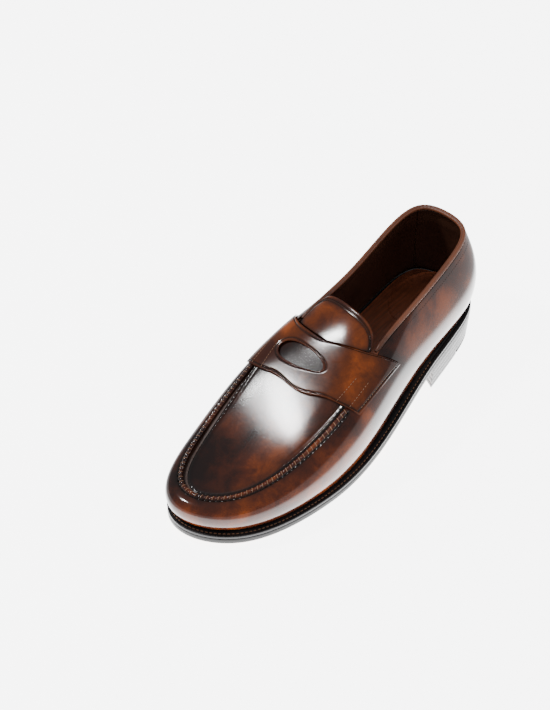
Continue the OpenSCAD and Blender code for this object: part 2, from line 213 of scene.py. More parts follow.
def edge(u, grow):
    return feather(u)[..., :2] + out_dir(u) * np.asarray(grow, float)[..., None]


def reach_at(u):
    return per_column(WELT_REACH, u)


def strap_back(w):
    return 4.37 - .25 * (np.abs(w) / .28) ** 1.2


def strap_front(w):
    return 4.37 + 34 / 49 - .19 * (np.abs(w) / .5) ** 1.7 + .1 * bump_at(w, .03, .1)


def strap_end(a):
    return .51 + .06 * (4.84 - a)


def slot_point(angle):
    return (4.37 + .4 * 34 / 49 + .023 + .07 * np.cos(angle) - .15 * np.sin(angle), -.08 + .14 * np.cos(angle))


def lining_depth(u, v):
    """Depth of the linings' outer face: deeper where a stiffener lies between the leathers."""
    toe = smooth((side(u) - 5.8) / .7) * (1 - smooth((v - .66) / .14))
    heel = (1 - smooth((side(u) - 2.1) / .6)) * (1 - smooth((v - .52) / .12))
    return -1.6 - 1.1 * np.maximum(toe, heel)


def find_middle():
    steps = np.array([.008] + [k / 5 for k in range(1, 80)] + [15.992])
    wall = skin(steps[:, None], wall_top(steps)[:, None] * np.arange(10) / 9).reshape(-1, 3)[:, :2]
    ring = np.arange(160) / 10
    both = np.concatenate([wall, edge(ring, reach_at(ring))])
    return np.append((both.max(0) + both.min(0)) / 2, 0)


MIDDLE = find_middle()


# ---------------------------------------------------------------- working the mesh
def put_down():
    """Leaves edit mode and lets go of everything."""
    if bpy.context.object and bpy.context.object.mode != "OBJECT":
        bpy.ops.object.mode_set(mode="OBJECT")
    bpy.ops.object.select_all(action="DESELECT")


def pick_up(piece):
    put_down()
    piece.select_set(True)
    bpy.context.view_layer.objects.active = piece


def closed(rows, axis=0):
    """Ends a ring of rows where it began."""
    return np.concatenate([rows, np.take(rows, [0], axis)], axis)


def lay(name, points, worn_and_painted_light=None):
    """Lays a grid over rows of points, in millimetres on the last, and joins the edges that meet."""
    rows, across = points.shape[:2]
    put_down()
    bpy.ops.mesh.primitive_grid_add(x_subdivisions=across - 1, y_subdivisions=rows - 1, size=1)
    piece = bpy.context.object
    piece.name = piece.data.name = name
    mesh = piece.data
    mesh.vertices.foreach_set("co", ((points - MIDDLE) * .001).reshape(-1))
    burnish_and_painted_light = mesh.attributes.new("burnish_and_painted_light", "FLOAT", "POINT")
    worn_and_painted_light = np.zeros((rows, across)) + (0 if worn_and_painted_light is None else worn_and_painted_light)
    burnish_and_painted_light.data.foreach_set("value", worn_and_painted_light.reshape(-1))
    mesh.update()
    bpy.ops.object.mode_set(mode="EDIT")
    bpy.ops.mesh.select_all(action="SELECT")
    bpy.ops.mesh.remove_doubles(threshold=2e-6)
    bpy.ops.object.mode_set(mode="OBJECT")
    return piece


def thicken(piece, thick, rim=.3, segments=2):
    """Gives a leather its thickness, inwards, and breaks its cut edges."""
    mesh = piece.data
    count = np.zeros(len(mesh.edges), int)
    sides = np.zeros(len(mesh.loops), int)
    mesh.loops.foreach_get("edge_index", sides)
    np.add.at(count, sides, 1)
    ends = np.zeros(len(mesh.edges) * 2, int)
    mesh.edges.foreach_get("vertices", ends)
    on_rim = np.zeros(len(mesh.vertices))
    on_rim[ends.reshape(-1, 2)[count == 1].reshape(-1)] = 1
    mark = mesh.attributes.new("rim", "FLOAT", "POINT")
    mark.data.foreach_set("value", on_rim)
    pick_up(piece)
    wall = piece.modifiers.new("thickness", "SOLIDIFY")
    wall.thickness, wall.offset, wall.use_rim = thick * .001, -1, True
    bpy.ops.object.modifier_apply(modifier="thickness")
    if rim:
        weigh_rim(piece.data)
        pick_up(piece)
        cut = piece.modifiers.new("cut edge", "BEVEL")
        cut.width, cut.segments, cut.limit_method = rim * .001, segments, "WEIGHT"
        bpy.ops.object.modifier_apply(modifier="cut edge")
    return piece


def weigh_rim(mesh):
    """Marks the sharp edges of the cut rim, so that they alone are broken."""
    mesh.update()
    on_rim = np.zeros(len(mesh.vertices))
    mesh.attributes["rim"].data.foreach_get("value", on_rim)
    ends = np.zeros(len(mesh.edges) * 2, int)
    mesh.edges.foreach_get("vertices", ends)
    ends = ends.reshape(-1, 2)
    normals = np.zeros(len(mesh.polygons) * 3)
    mesh.polygons.foreach_get("normal", normals)
    sizes = np.zeros(len(mesh.polygons), int)
    mesh.polygons.foreach_get("loop_total", sizes)
    sides = np.zeros(len(mesh.loops), int)
    mesh.loops.foreach_get("edge_index", sides)
    face = np.repeat(np.arange(len(sizes)), sizes)
    order = np.argsort(sides, kind="stable")
    first = np.full(len(mesh.edges), -1)
    second = np.full(len(mesh.edges), -1)
    sorted_sides = sides[order]
    starts = np.searchsorted(sorted_sides, np.arange(len(mesh.edges)))
    twice = np.bincount(sides, minlength=len(mesh.edges)) == 2
    first[twice] = face[order[starts[twice]]]
    second[twice] = face[order[starts[twice] + 1]]
    n = normals.reshape(-1, 3)
    sharp = twice & ((n[first] * n[second]).sum(1) < .6) & (on_rim[ends] > .5).all(1)
    weight = mesh.attributes.new("bevel_weight_edge", "FLOAT", "EDGE")
    weight.data.foreach_set("value", sharp.astype(float))


def finish(piece, material, body="shoe", replaces=(), angle=40):
    """Smooths a piece, gives it its material, and hangs it on its body."""
    pick_up(piece)
    bpy.ops.object.shade_smooth_by_angle(angle=math.radians(angle))
    piece.data.materials.clear()
    piece.data.materials.append(material)
    if replaces:
        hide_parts(*replaces)
    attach(piece, body)
    put_down()
    return piece


def outward(piece):
    """Turns the faces of a closed piece outwards."""
    pick_up(piece)
    bpy.ops.object.mode_set(mode="EDIT")
    bpy.ops.mesh.select_all(action="SELECT")
    bpy.ops.mesh.normals_make_consistent(inside=False)
    bpy.ops.object.mode_set(mode="OBJECT")
    return piece


def cap_ends(piece):
    """Closes the open ends of a tube."""
    pick_up(piece)
    bpy.ops.object.mode_set(mode="EDIT")
    bpy.ops.mesh.select_all(action="DESELECT")
    bpy.ops.mesh.select_non_manifold(extend=False)
    bpy.ops.mesh.fill_holes(sides=0)
    bpy.ops.object.mode_set(mode="OBJECT")
    return outward(piece)


def sweep(name, u, section, worn_and_painted_light=None):
    """Runs a section round the shoe. section(u) gives rows of (out from the feather line, height above it)."""
    sec = section(u)
    xy = feather(u)[:, None, :2] + out_dir(u)[:, None, :] * sec[..., 0:1]
    points = np.concatenate([xy, (feather_z(xy[..., 1]) + sec[..., 1])[..., None]], -1)
    if worn_and_painted_light is not None:
        worn_and_painted_light = closed(worn_and_painted_light, 1)
    return outward(lay(name, closed(points, 1), worn_and_painted_light))


def line_length(points):
    return np.concatenate([[0], np.cumsum(np.linalg.norm(np.diff(points, axis=0), axis=1))])


def take_model():
    """The corners and faces of the primitive just added, which is then cleared away."""
    mesh = bpy.context.object.data
    verts = np.array([v.co[:] for v in mesh.vertices])
    faces = [tuple(p.vertices) for p in mesh.polygons]
    bpy.data.meshes.remove(mesh)
    return verts, faces


def make_piece(name, verts, faces, material, body="shoe", angle=80):
    """One piece from lists of corners, in millimetres on the last, and faces."""
    mesh = bpy.data.meshes.new(name)
    mesh.from_pydata((np.concatenate(verts) - MIDDLE) * .001, [], faces)
    piece = bpy.data.objects.new(name, mesh)
    bpy.context.collection.objects.link(piece)
    return finish(outward(piece), material, body, angle=angle)


def one_stitch(long, wide, high):
    """One stitch of thread: a short rounded bar that dips into the leather at both ends."""
    put_down()
    bpy.ops.mesh.primitive_uv_sphere_add(segments=8, ring_count=6, radius=1)
    verts, faces = take_model()
    x = np.sign(verts[:, 2]) * np.abs(verts[:, 2]) ** .8
    return np.stack([x * long / 2, verts[:, 0] * wide / 2, verts[:, 1] * high / 2 - .32 * high * x ** 4], -1), faces


def sew(name, lines, pitch, long, wide, high, material, body="shoe", sink=0., slant=0.):
    """Sews rows of stitches. Each line is a pair: points along it, and the leather's normals there."""
    model, faces = one_stitch(long, wide, high)
    verts, polys = [], []
    for points, normals in lines:
        run = line_length(points)
        count = max(int(run[-1] / pitch), 1)
        for k in range(count):
            s = (k + .5) * run[-1] / count
            c = np.array([np.interp(s, run, points[:, i]) for i in range(3)])
            ahead = np.array([np.interp(min(s + .6, run[-1]), run, points[:, i]) for i in range(3)])
            back = np.array([np.interp(max(s - .6, 0), run, points[:, i]) for i in range(3)])
            n = unit(np.array([np.interp(s, run, normals[:, i]) for i in range(3)]))
            t = unit(ahead - back)
            b = unit(np.cross(n, t))
            n = np.cross(t, b)
            t, b = t * math.cos(slant) + b * math.sin(slant), b * math.cos(slant) - t * math.sin(slant)
            base = len(verts) * len(model)
            verts.append(c - n * sink + model[:, :1] * t + model[:, 1:2] * b + model[:, 2:] * n)
            polys += [tuple(base + i for i in f) for f in faces]
    return make_piece(name, verts, polys, material, body)


def at_line(u, v, d):
    return at(u, v, d + np.zeros(len(u))), normal(u, v)


def over_line(a, w, d):
    return at_over(a, w, d + np.zeros(len(a))), over_normal(a, w)


# ---------------------------------------------------------------- finishes
def new_group(name, inputs, outputs):
    group = bpy.data.node_groups.new(name, "ShaderNodeTree")
    for label, kind, value in inputs:
        socket = group.interface.new_socket(label, in_out="INPUT", socket_type=kind)
        socket.default_value = value
    for label, kind in outputs:
        group.interface.new_socket(label, in_out="OUTPUT", socket_type=kind)
    start, end = group.nodes.new("NodeGroupInput"), group.nodes.new("NodeGroupOutput")
    return group, start, end


def node(tree, kind, **values):
    made = tree.nodes.new("ShaderNode" + kind)
    for key, value in values.items():
        if hasattr(made, key) and key not in made.inputs:
            setattr(made, key, value)
        else:
            made.inputs[key].default_value = value
    return made


def calc(tree, operation, one, two=None, three=None, clamp=False):
    made = tree.nodes.new("ShaderNodeMath")
    made.operation, made.use_clamp = operation, clamp
    for i, value in enumerate((one, two, three)):
        if value is None:
            continue
        if isinstance(value, (int, float)):
            made.inputs[i].default_value = value
        else:
            tree.links.new(value, made.inputs[i])
    return made.outputs[0]


def stepped(tree, value, low, high):
    made = tree.nodes.new("ShaderNodeMapRange")
    made.interpolation_type = "SMOOTHSTEP"
    tree.links.new(value, made.inputs["Value"])
    for socket, limit in (("From Min", low), ("From Max", high)):
        if isinstance(limit, (int, float)):
            made.inputs[socket].default_value = limit
        else:
            tree.links.new(limit, made.inputs[socket])
    return made.outputs["Result"]


def blend_colour(tree, share, one, two, way="MIX"):
    made = tree.nodes.new("ShaderNodeMix")
    made.data_type, made.blend_type = "RGBA", way
    for socket, value in ((made.inputs[0], share), (made.inputs[6], one), (made.inputs[7], two)):
        if isinstance(value, (int, float)):
            socket.default_value = value
        elif isinstance(value, tuple):
            socket.default_value = value
        else:
            tree.links.new(value, socket)
    return made.outputs[2]


def noise(tree, place, scale, detail=3., rough=.55, stretch=None, warp=0.):
    if stretch:
        turned = node(tree, "Mapping")
        turned.inputs["Scale"].default_value = stretch
        tree.links.new(place, turned.inputs["Vector"])
        place = turned.outputs[0]
    made = node(tree, "TexNoise", Scale=scale, Detail=detail, Roughness=rough, Distortion=warp)
    tree.links.new(place, made.inputs["Vector"])
    return made.outputs["Fac"]


def make_patina():
    """Hand-rubbed dye: cloudy light patches over a dark ground, burnt darker where the wear marks it, and darkened as
    painted shade under the strap, at the tongue's root and under the binding's roll.
    """
    group, start, end = new_group("patina", [
        ("Place", "NodeSocketVector", (0, 0, 0)), ("Burnish", "NodeSocketFloat", 0.),
        ("Ground", "NodeSocketColor", (.03, .01, .005, 1)), ("Body", "NodeSocketColor", (.1, .03, .01, 1)),
        ("Glow", "NodeSocketColor", (.3, .09, .02, 1)), ("Amount", "NodeSocketFloat", 1.)],
        [("Color", "NodeSocketColor"), ("Cloud", "NodeSocketFloat")])
    place = start.outputs["Place"]
    cloud = calc(group, "ADD", calc(group, "MULTIPLY", noise(group, place, 17, 2.5, .5, warp=.6), .62),
                 calc(group, "MULTIPLY", noise(group, place, 62, 4, .6, warp=.4), .38))
    fine = noise(group, place, 420, 4, .65)
    cloud = calc(group, "ADD", cloud, calc(group, "MULTIPLY", calc(group, "SUBTRACT", fine, .5), .06))
    body = blend_colour(group, stepped(group, cloud, .36, .56), start.outputs["Ground"], start.outputs["Body"])
    lit = calc(group, "MULTIPLY", stepped(group, cloud, .5, .68), start.outputs["Amount"])
    glow = blend_colour(group, lit, body, start.outputs["Glow"])
    uneven = calc(group, "ADD", .55, calc(group, "MULTIPLY", cloud, .9))
    worn_and_painted_light = calc(group, "MULTIPLY", start.outputs["Burnish"], uneven, clamp=True)
    dark = blend_colour(group, calc(group, "MULTIPLY", worn_and_painted_light, .93), glow, (.0035, .0016, .0012, 1))
    group.links.new(dark, end.inputs["Color"])
    group.links.new(cloud, end.inputs["Cloud"])
    return group


def make_leather_grain():
    """Fine pores, soft creases and the polish's uneven sheen."""
    group, start, end = new_group("leather_grain", [
        ("Place", "NodeSocketVector", (0, 0, 0)), ("Pores", "NodeSocketFloat", 1.), ("Creases", "NodeSocketFloat", 1.),
        ("Polish", "NodeSocketFloat", .22)], [("Height", "NodeSocketFloat"), ("Roughness", "NodeSocketFloat")])
    place = start.outputs["Place"]
    cells = node(group, "TexVoronoi", feature="DISTANCE_TO_EDGE", Scale=1500.)
    group.links.new(place, cells.inputs["Vector"])
    pores = calc(group, "MULTIPLY", stepped(group, cells.outputs["Distance"], 0, .25), start.outputs["Pores"])
    soft = noise(group, place, 90, 3, .5, stretch=(1, .45, 1))
    fine = noise(group, place, 900, 3, .6)
    creases = calc(group, "MULTIPLY", soft, start.outputs["Creases"])
    high = calc(group, "ADD", calc(group, "MULTIPLY", pores, .05), calc(group, "MULTIPLY", creases, .9))
    high = calc(group, "ADD", high, calc(group, "MULTIPLY", fine, .06))
    rub = noise(group, place, 34, 5, .62, stretch=(1, .6, 1))
    sheen = calc(group, "ADD", start.outputs["Polish"], calc(group, "MULTIPLY", calc(group, "SUBTRACT", rub, .5), .09))
    sheen = calc(group, "ADD", sheen, calc(group, "MULTIPLY", calc(group, "SUBTRACT", fine, .5), .04), clamp=True)
    group.links.new(high, end.inputs["Height"])
    group.links.new(sheen, end.inputs["Roughness"])
    return group


def make_brush_marks():
    """Long fine streaks, as a brush, a rasp or a sanding belt leaves them."""
    group, start, end = new_group("brush_marks", [
        ("Place", "NodeSocketVector", (0, 0, 0)), ("Stretch", "NodeSocketVector", (1, .06, 1)),
        ("Scale", "NodeSocketFloat", 600.)], [("Mask", "NodeSocketFloat"), ("Height", "NodeSocketFloat")])
    turned = node(group, "Mapping")
    group.links.new(start.outputs["Place"], turned.inputs["Vector"])
    group.links.new(start.outputs["Stretch"], turned.inputs["Scale"])
    streak = node(group, "TexNoise", Detail=4., Roughness=.6)
    group.links.new(turned.outputs[0], streak.inputs["Vector"])
    group.links.new(start.outputs["Scale"], streak.inputs["Scale"])
    group.links.new(stepped(group, streak.outputs["Fac"], .35, .65), end.inputs["Mask"])
    group.links.new(streak.outputs["Fac"], end.inputs["Height"])
    return group


def make_wear_and_highlight():
    """Dust and rubbing, and on the sock a painted highlight: a broken mask, strongest where the attribute given as
    Where is high.
    """
    group, start, end = new_group("rubbed_edges_and_highlight", [
        ("Place", "NodeSocketVector", (0, 0, 0)), ("Where", "NodeSocketFloat", 0.), ("Spread", "NodeSocketFloat", .5)],
        [("Mask", "NodeSocketFloat")])
    patchy = noise(group, start.outputs["Place"], 240, 5, .65)
    broken = stepped(group, patchy, start.outputs["Spread"], .8)
    mask = calc(group, "MULTIPLY", start.outputs["Where"], broken, clamp=True)
    group.links.new(mask, end.inputs["Mask"])
    return group


def make_weave():
    """Threads over and under each other."""
    group, start, end = new_group("canvas_weave", [
        ("Place", "NodeSocketVector", (0, 0, 0)), ("Scale", "NodeSocketFloat", 900.)], [("Height", "NodeSocketFloat")])
    parts = []
    for direction in ("X", "Y"):
        wave = node(group, "TexWave", wave_type="BANDS", bands_direction=direction, Distortion=1.5, Detail=2.)
        group.links.new(start.outputs["Place"], wave.inputs["Vector"])
        group.links.new(start.outputs["Scale"], wave.inputs["Scale"])
        parts.append(wave.outputs["Fac"])
    group.links.new(calc(group, "MAXIMUM", *parts), end.inputs["Height"])
    return group


GROUPS = {}


def group_node(tree, name, **values):
    makers = {"patina": make_patina, "leather_grain": make_leather_grain, "brush_marks": make_brush_marks,
              "rubbed_edges_and_highlight": make_wear_and_highlight, "canvas_weave": make_weave}
    if name not in GROUPS:
        GROUPS[name] = makers[name]()
    made = tree.nodes.new("ShaderNodeGroup")
    made.node_tree = GROUPS[name]
    for key, value in values.items():
        if isinstance(value, (int, float, tuple)):
            made.inputs[key].default_value = value
        else:
            tree.links.new(value, made.inputs[key])
    return made


def start_finish(name):
    material = bpy.data.materials.new(name)
    material.use_nodes = True
    tree = material.node_tree
    shader = tree.nodes["Principled BSDF"]
    place = tree.nodes.new("ShaderNodeTexCoord").outputs["Object"]
    return material, tree, shader, place


def attribute(tree, name="burnish_and_painted_light"):
    made = node(tree, "Attribute", attribute_name=name, attribute_type="GEOMETRY")
    return made.outputs["Fac"]


def raise_surface(tree, shader, height, distance, strength=1.):
    bump = node(tree, "Bump", Strength=strength, Distance=distance)
    tree.links.new(height, bump.inputs["Height"])
    tree.links.new(bump.outputs["Normal"], shader.inputs["Normal"])


def leather_surface(tree, shader, place, colour, pores, creases, polish, depth, strength, streaks=None, share=1.):
    """Colour, sheen and grain of a leather. Streaks, if any, are raised over the grain by their share."""
    tree.links.new(colour, shader.inputs["Base Color"])
    grain = group_node(tree, "leather_grain", Place=place, Pores=pores, Creases=creases, Polish=polish)
    tree.links.new(grain.outputs["Roughness"], shader.inputs["Roughness"])
    height = grain.outputs["Height"]
    if streaks:
        height = calc(tree, "ADD", height, calc(tree, "MULTIPLY", streaks.outputs["Height"], share))
    raise_surface(tree, shader, height, depth, strength)


def upper_leather(name, ground, body, glow, polish, amount):
    """Smooth calf with a hand-rubbed patina under wax."""
    material, tree, shader, place = start_finish(name)
    dye = group_node(tree, "patina", Place=place, Burnish=attribute(tree), Ground=ground, Body=body, Glow=glow,
                     Amount=amount)
    shader.inputs["Coat Weight"].default_value = .12
    shader.inputs["Coat Roughness"].default_value = .06
    shader.inputs["Specular IOR Level"].default_value = .34
    leather_surface(tree, shader, place, dye.outputs["Color"], 1., .16, polish, .0003, .16)
    return material


def lining_leather(name, ground, light, rough=.42):
    """Thin lining calf, matt and a little mottled."""
    material, tree, shader, place = start_finish(name)
    dye = group_node(tree, "patina", Place=place, Burnish=attribute(tree), Ground=ground, Body=light, Glow=light,
                     Amount=.3)
    leather_surface(tree, shader, place, dye.outputs["Color"], 2.2, .8, rough, .0005, .6)
    return material


def sock_leather(name, ground, light, painted_highlight):
    """Insole sock: brushed dye, and a painted highlight: the heel pad's rim is painted a much paler colour."""
    material, tree, shader, place = start_finish(name)
    dye = group_node(tree, "patina", Place=place, Burnish=0., Ground=ground, Body=light, Glow=light, Amount=.8)
    streaks = group_node(tree, "brush_marks", Place=place, Stretch=(1., .09, 1.), Scale=520.)
    darker = blend_colour(tree, calc(tree, "MULTIPLY", streaks.outputs["Mask"], .5), dye.outputs["Color"], ground)
    rim = group_node(tree, "rubbed_edges_and_highlight", Place=place, Where=attribute(tree), Spread=.2)
    # Painted highlight: where the mark is high the colour turns much paler
    colour = blend_colour(tree, rim.outputs["Mask"], darker, painted_highlight)
    leather_surface(tree, shader, place, colour, 1.5, .6, .3, .0005, .6, streaks, .25)
    return material


def edge_dressing(name, colour, rubbed, polish=.3, layers=0.):
    """Cut leather edge, inked, ironed with wax, and rubbed through a little."""
    material, tree, shader, place = start_finish(name)
    streaks = group_node(tree, "brush_marks", Place=place, Stretch=(.05, .05, 1.), Scale=900.)
    rub = group_node(tree, "rubbed_edges_and_highlight", Place=place, Where=attribute(tree), Spread=.25)
    base = blend_colour(tree, calc(tree, "MULTIPLY", streaks.outputs["Mask"], .35), colour, rubbed)
    colour = blend_colour(tree, rub.outputs["Mask"], base, rubbed)
    shader.inputs["Specular IOR Level"].default_value = .24
    leather_surface(tree, shader, place, colour, .6, .4, polish, .0004, .5, streaks, .2 + layers)
    return material


def sole_leather(name, colour, dark):
    """Oak-bark sole leather, brushed and lightly stained."""
    material, tree, shader, place = start_finish(name)
    streaks = group_node(tree, "brush_marks", Place=place, Stretch=(1., .12, 1.), Scale=420.)
    cloud = noise(tree, place, 30, 4, .6)
    base = blend_colour(tree, calc(tree, "MULTIPLY", cloud, .55), colour, dark)
    base = blend_colour(tree, calc(tree, "MULTIPLY", streaks.outputs["Mask"], .25), base, dark)
    base = blend_colour(tree, attribute(tree), base, (.006, .0055, .006, 1))
    shader.inputs["Specular IOR Level"].default_value = .24
    leather_surface(tree, shader, place, base, 1.4, .5, .36, .0005, .5, streaks, .3)
    return material


def waxed_thread(name, colour, dark, rough=.6):
    """Twisted waxed thread."""
    material, tree, shader, place = start_finish(name)
    twist = node(tree, "TexWave", wave_type="BANDS", bands_direction="DIAGONAL", Scale=700., Distortion=2., Detail=2.)
    tree.links.new(place, twist.inputs["Vector"])
    shade = noise(tree, place, 160, 3, .6)
    mixed = blend_colour(tree, calc(tree, "MULTIPLY", twist.outputs["Fac"], .5), colour, dark)
    tree.links.new(blend_colour(tree, calc(tree, "MULTIPLY", shade, .5), mixed, dark), shader.inputs["Base Color"])
    shader.inputs["Roughness"].default_value = rough
    shader.inputs["Specular IOR Level"].default_value = .2
    raise_surface(tree, shader, twist.outputs["Fac"], .0001, .6)
    return material


def plain_stock(name, colour, dark, scale, rough, metal=0., kind="noise", height=.0004):
    """Board, cork, canvas, steel or rubber, with its own granules, weave or brushing."""
    material, tree, shader, place = start_finish(name)
    if kind == "granules":
        cells = node(tree, "TexVoronoi", feature="F1", Scale=scale)
        tree.links.new(place, cells.inputs["Vector"])
        raised = cells.outputs["Distance"]
        mask = stepped(tree, raised, .15, .6)
    elif kind == "weave":
        raised = group_node(tree, "canvas_weave", Place=place, Scale=scale).outputs["Height"]
        mask = stepped(tree, raised, .9, .3)
    elif kind == "brushed":
        streaks = group_node(tree, "brush_marks", Place=place, Stretch=(1., .05, 1.), Scale=scale)
        raised, mask = streaks.outputs["Height"], streaks.outputs["Mask"]
    else:
        raised = noise(tree, place, scale, 5, .65)
        mask = stepped(tree, raised, .35, .65)
    tree.links.new(blend_colour(tree, mask, colour, dark), shader.inputs["Base Color"])
    uneven = calc(tree, "ADD", rough, calc(tree, "MULTIPLY", calc(tree, "SUBTRACT", mask, .5), .12), clamp=True)
    tree.links.new(uneven, shader.inputs["Roughness"])
    shader.inputs["Metallic"].default_value = metal
    raise_surface(tree, shader, raised, height, .5)
    return material


MADE = {}


def tint(colour, factor):
    return (colour[0] * factor, colour[1] * factor, colour[2] * factor, 1.)


def stuff(name):
    """The finish of that name, made the first time it is asked for."""
    if name in MADE:
        return MADE[name]
    c = bpy.context.scene.loafer_colours
    ground, body, glow, ink, rubbed = (tint(shade, 1.) for shade in (c.ground, c.body, c.glow, c.ink, c.rubbed))
    makers = {
        "wall_calf": lambda: upper_leather(name, ground, body, glow, .12, .8),
        "apron_calf": lambda: upper_leather(name, ground, body, glow, .12, .8),
        "strap_calf": lambda: upper_leather(name, tint(body, .5), tint(glow, .42), tint(glow, 1.15), .12, 1.),
        "tongue_calf": lambda: upper_leather(name, tint(body, .7), tint(glow, .6), tint(glow, 1.35), .12, 1.),
        "dark_calf": lambda: upper_leather(name, tint(ground, .8), tint(body, .6), body, .22, .5),
        "lining_calf": lambda: lining_leather(name, tint(c.lining, .6), tint(c.lining, 1.)),
        "binding_calf": lambda: lining_leather(name, tint(c.binding, .6), tint(c.binding, 1.), .34),
        # The third sock colour is the painted highlight on the heel pad's rim.
        "sock_calf": lambda: sock_leather(name, tint(c.sock, .45), tint(c.sock, 1.), tint(c.sock, 3.)),
        "welt_ink": lambda: edge_dressing(name, ink, rubbed, .3),
        "edge_ink": lambda: edge_dressing(name, tint(ink, 1.6), rubbed, .27),
        "stack_ink": lambda: edge_dressing(name, tint(ink, 2.0), tint(rubbed, 1.2), .3, .25),
        "sole_bend": lambda: sole_leather(name, (.26, .15, .075, 1), (.13, .07, .032, 1)),
        "tip_rubber": lambda: plain_stock(name, (.012, .012, .012, 1), (.022, .021, .02, 1), 1400., .6, height=.0002),
        "dark_thread": lambda: waxed_thread(name, (.02, .009, .006, 1), (.006, .003, .002, 1)),
        "brown_thread": lambda: waxed_thread(name, tint(c.thread, 1.), tint(c.thread, .4)),
        "welt_thread": lambda: waxed_thread(name, tint(c.thread, .75), tint(c.thread, .3)),
        "brass_pins": lambda: plain_stock(name, (.5, .33, .12, 1), (.32, .2, .07, 1), 900., .35, 1., "brushed"),
        "leather_board": lambda: plain_stock(name, (.32, .2, .11, 1), (.2, .12, .06, 1), 700., .8),
        "insole_bend": lambda: sole_leather(name, (.34, .2, .11, 1), (.2, .11, .055, 1)),
        "rib_canvas": lambda: plain_stock(name, (.5, .43, .32, 1), (.28, .23, .16, 1), 1100., .85, kind="weave"),
        "spring_steel": lambda: plain_stock(name, (.42, .43, .45, 1), (.3, .31, .33, 1), 800., .32, 1., "brushed"),
        "ground_cork": lambda: plain_stock(name, (.36, .2, .1, 1), (.16, .08, .035, 1), 650., .9, kind="granules"),
    }
    MADE[name] = makers[name]()
    return MADE[name]


# ---------------------------------------------------------------- the pieces
def near_edge(distance, width, strength=1.):
    """Darkening beside an edge or a seam, in millimetres from it: dye burnt in, and at the tongue's root painted shade.
    """
    return strength * np.exp(-np.clip(distance, 0, None) / width)


def seam_slope(u, top):
    """Millimetres of leather per unit of v, just under the top of the wall."""
    return np.linalg.norm(skin(u, top) - skin(u, top - .05), axis=-1) / .05


def make_side_wall(sizes):
    u = np.concatenate([np.linspace(.008, 4.6, 170), np.linspace(4.6, 11.4, 640)[1:-1], np.linspace(11.4, 15.992, 170)])
    top = wall_top(u)
    slope = seam_slope(u, top)
    wide, high = sizes.bead_width * 1e3, sizes.bead_height * 1e3
    near = np.array([0, .25, .5, .8, 1.15, 1.5, 1.85, 2.2, 2.55, 2.9, 3.2, 3.5, 3.8, 4.2, 4.7, 5.4, 6.4, 7.8])
    near = near * wide / 3.6
    s = np.zeros((len(u), len(near) + 26))
    s[:, :len(near)] = near
    whole = top * slope
    share = np.linspace(0, 1, 27)[1:]
    s[:, len(near):] = near[-1] + (whole[:, None] - near[-1]) * share
    v = top[:, None] * 1. - s / slope[:, None]
    v = np.clip(v, 0, None)
    v[:, -1] = 0
    run = line_length(skin(u, top))
    front = smooth((side(u) - 4.93) / .06)[:, None]
    pinch = np.cos(run[:, None] * 2 * math.pi / (sizes.seam_pitch * 1e3))
    bead = high * np.sin(np.clip(s / wide, 0, 1) * math.pi) ** .75 * (1 + .13 * pinch)
    groove = -.4 * bump_at(s, wide + .55, .5) * (1 - .5 * pinch) + .12 * bump_at(s, wide + 2.4, 1.2)
    lift = front * (bead + groove)
    # The crease at the heel seam and where the wall turns under into the welt
    back = np.minimum(u, 16 - u)[:, None]
    lift = lift - .5 * bump_at(back, 0, .03)
    lift = lift - .35 * bump_at(v, 0, .012)
    points = at(u[:, None], v, lift)
    low = v / np.maximum(top[:, None], .01)
    worn_and_painted_light = near_edge(np.abs(s - wide - .5), 1.3, .95) * front * (s > wide * .8)
    worn_and_painted_light = worn_and_painted_light + .3 * near_edge(s - wide, 6.) * front * (s > wide) + .12 * front
    # Darker within millimetres of the wall's bottom and of the quarters' top edge, darker towards the heel, and darker
    # at the back seam.
    worn_and_painted_light = worn_and_painted_light + near_edge(low * whole[:, None], 9., .5) + near_edge(s, 6., .5) * (1 - front)
    worn_and_painted_light = worn_and_painted_light + .35 * smooth((5.4 - side(u)) / 1.2)[:, None] * smooth(1.2 - low) + .3 * bump_at(back, 0, .3)
    piece = lay("side_wall_leather", points[:, ::-1], np.clip(worn_and_painted_light, 0, 1)[:, ::-1])
    thicken(piece, LEATHER, .28)
    return finish(piece, stuff("wall_calf"), replaces=["side_wall"], angle=60)


def seam_line(depth, inward, low=4.95, count=900):
    """A line beside the apron seam, that many millimetres outside (+) or inside (-) it."""
    u = np.linspace(low, 16 - low, count)
    top = wall_top(u)
    v = top - inward / seam_slope(u, top)
    return at_line(u, v, depth)


def make_seam_stitches(sizes):
    wide, high = sizes.bead_width * 1e3, sizes.bead_height * 1e3
    lines = [seam_line(-.12, wide + .5)]
    pitch = sizes.seam_pitch * 1e3
    sew("apron_seam_stitches", lines, pitch, 2.2, .75, .7, stuff("dark_thread"), slant=.5)
    # The thread that crosses the raised edge
    u = np.linspace(4.97, 11.03, 1400)
    top = wall_top(u)
    run = line_length(skin(u, top))
    slope = seam_slope(u, top)
    count = int(run[-1] / pitch)
    lines = []
    for k in range(count):
        here = np.interp((k + .5) * run[-1] / count, run, u)
        spread = np.linspace(.05, .95, 7)
        uu = here + (spread - .5) * .012
        tt = np.interp(uu, u, top)
        vv = tt - spread * wide / np.interp(uu, u, slope)
        lines.append((at(uu, vv, high * np.sin(spread * math.pi) ** .75 * .9 + .1), normal(uu, vv)))
    return tubes("apron_seam_whip", lines, .3, stuff("brown_thread"))


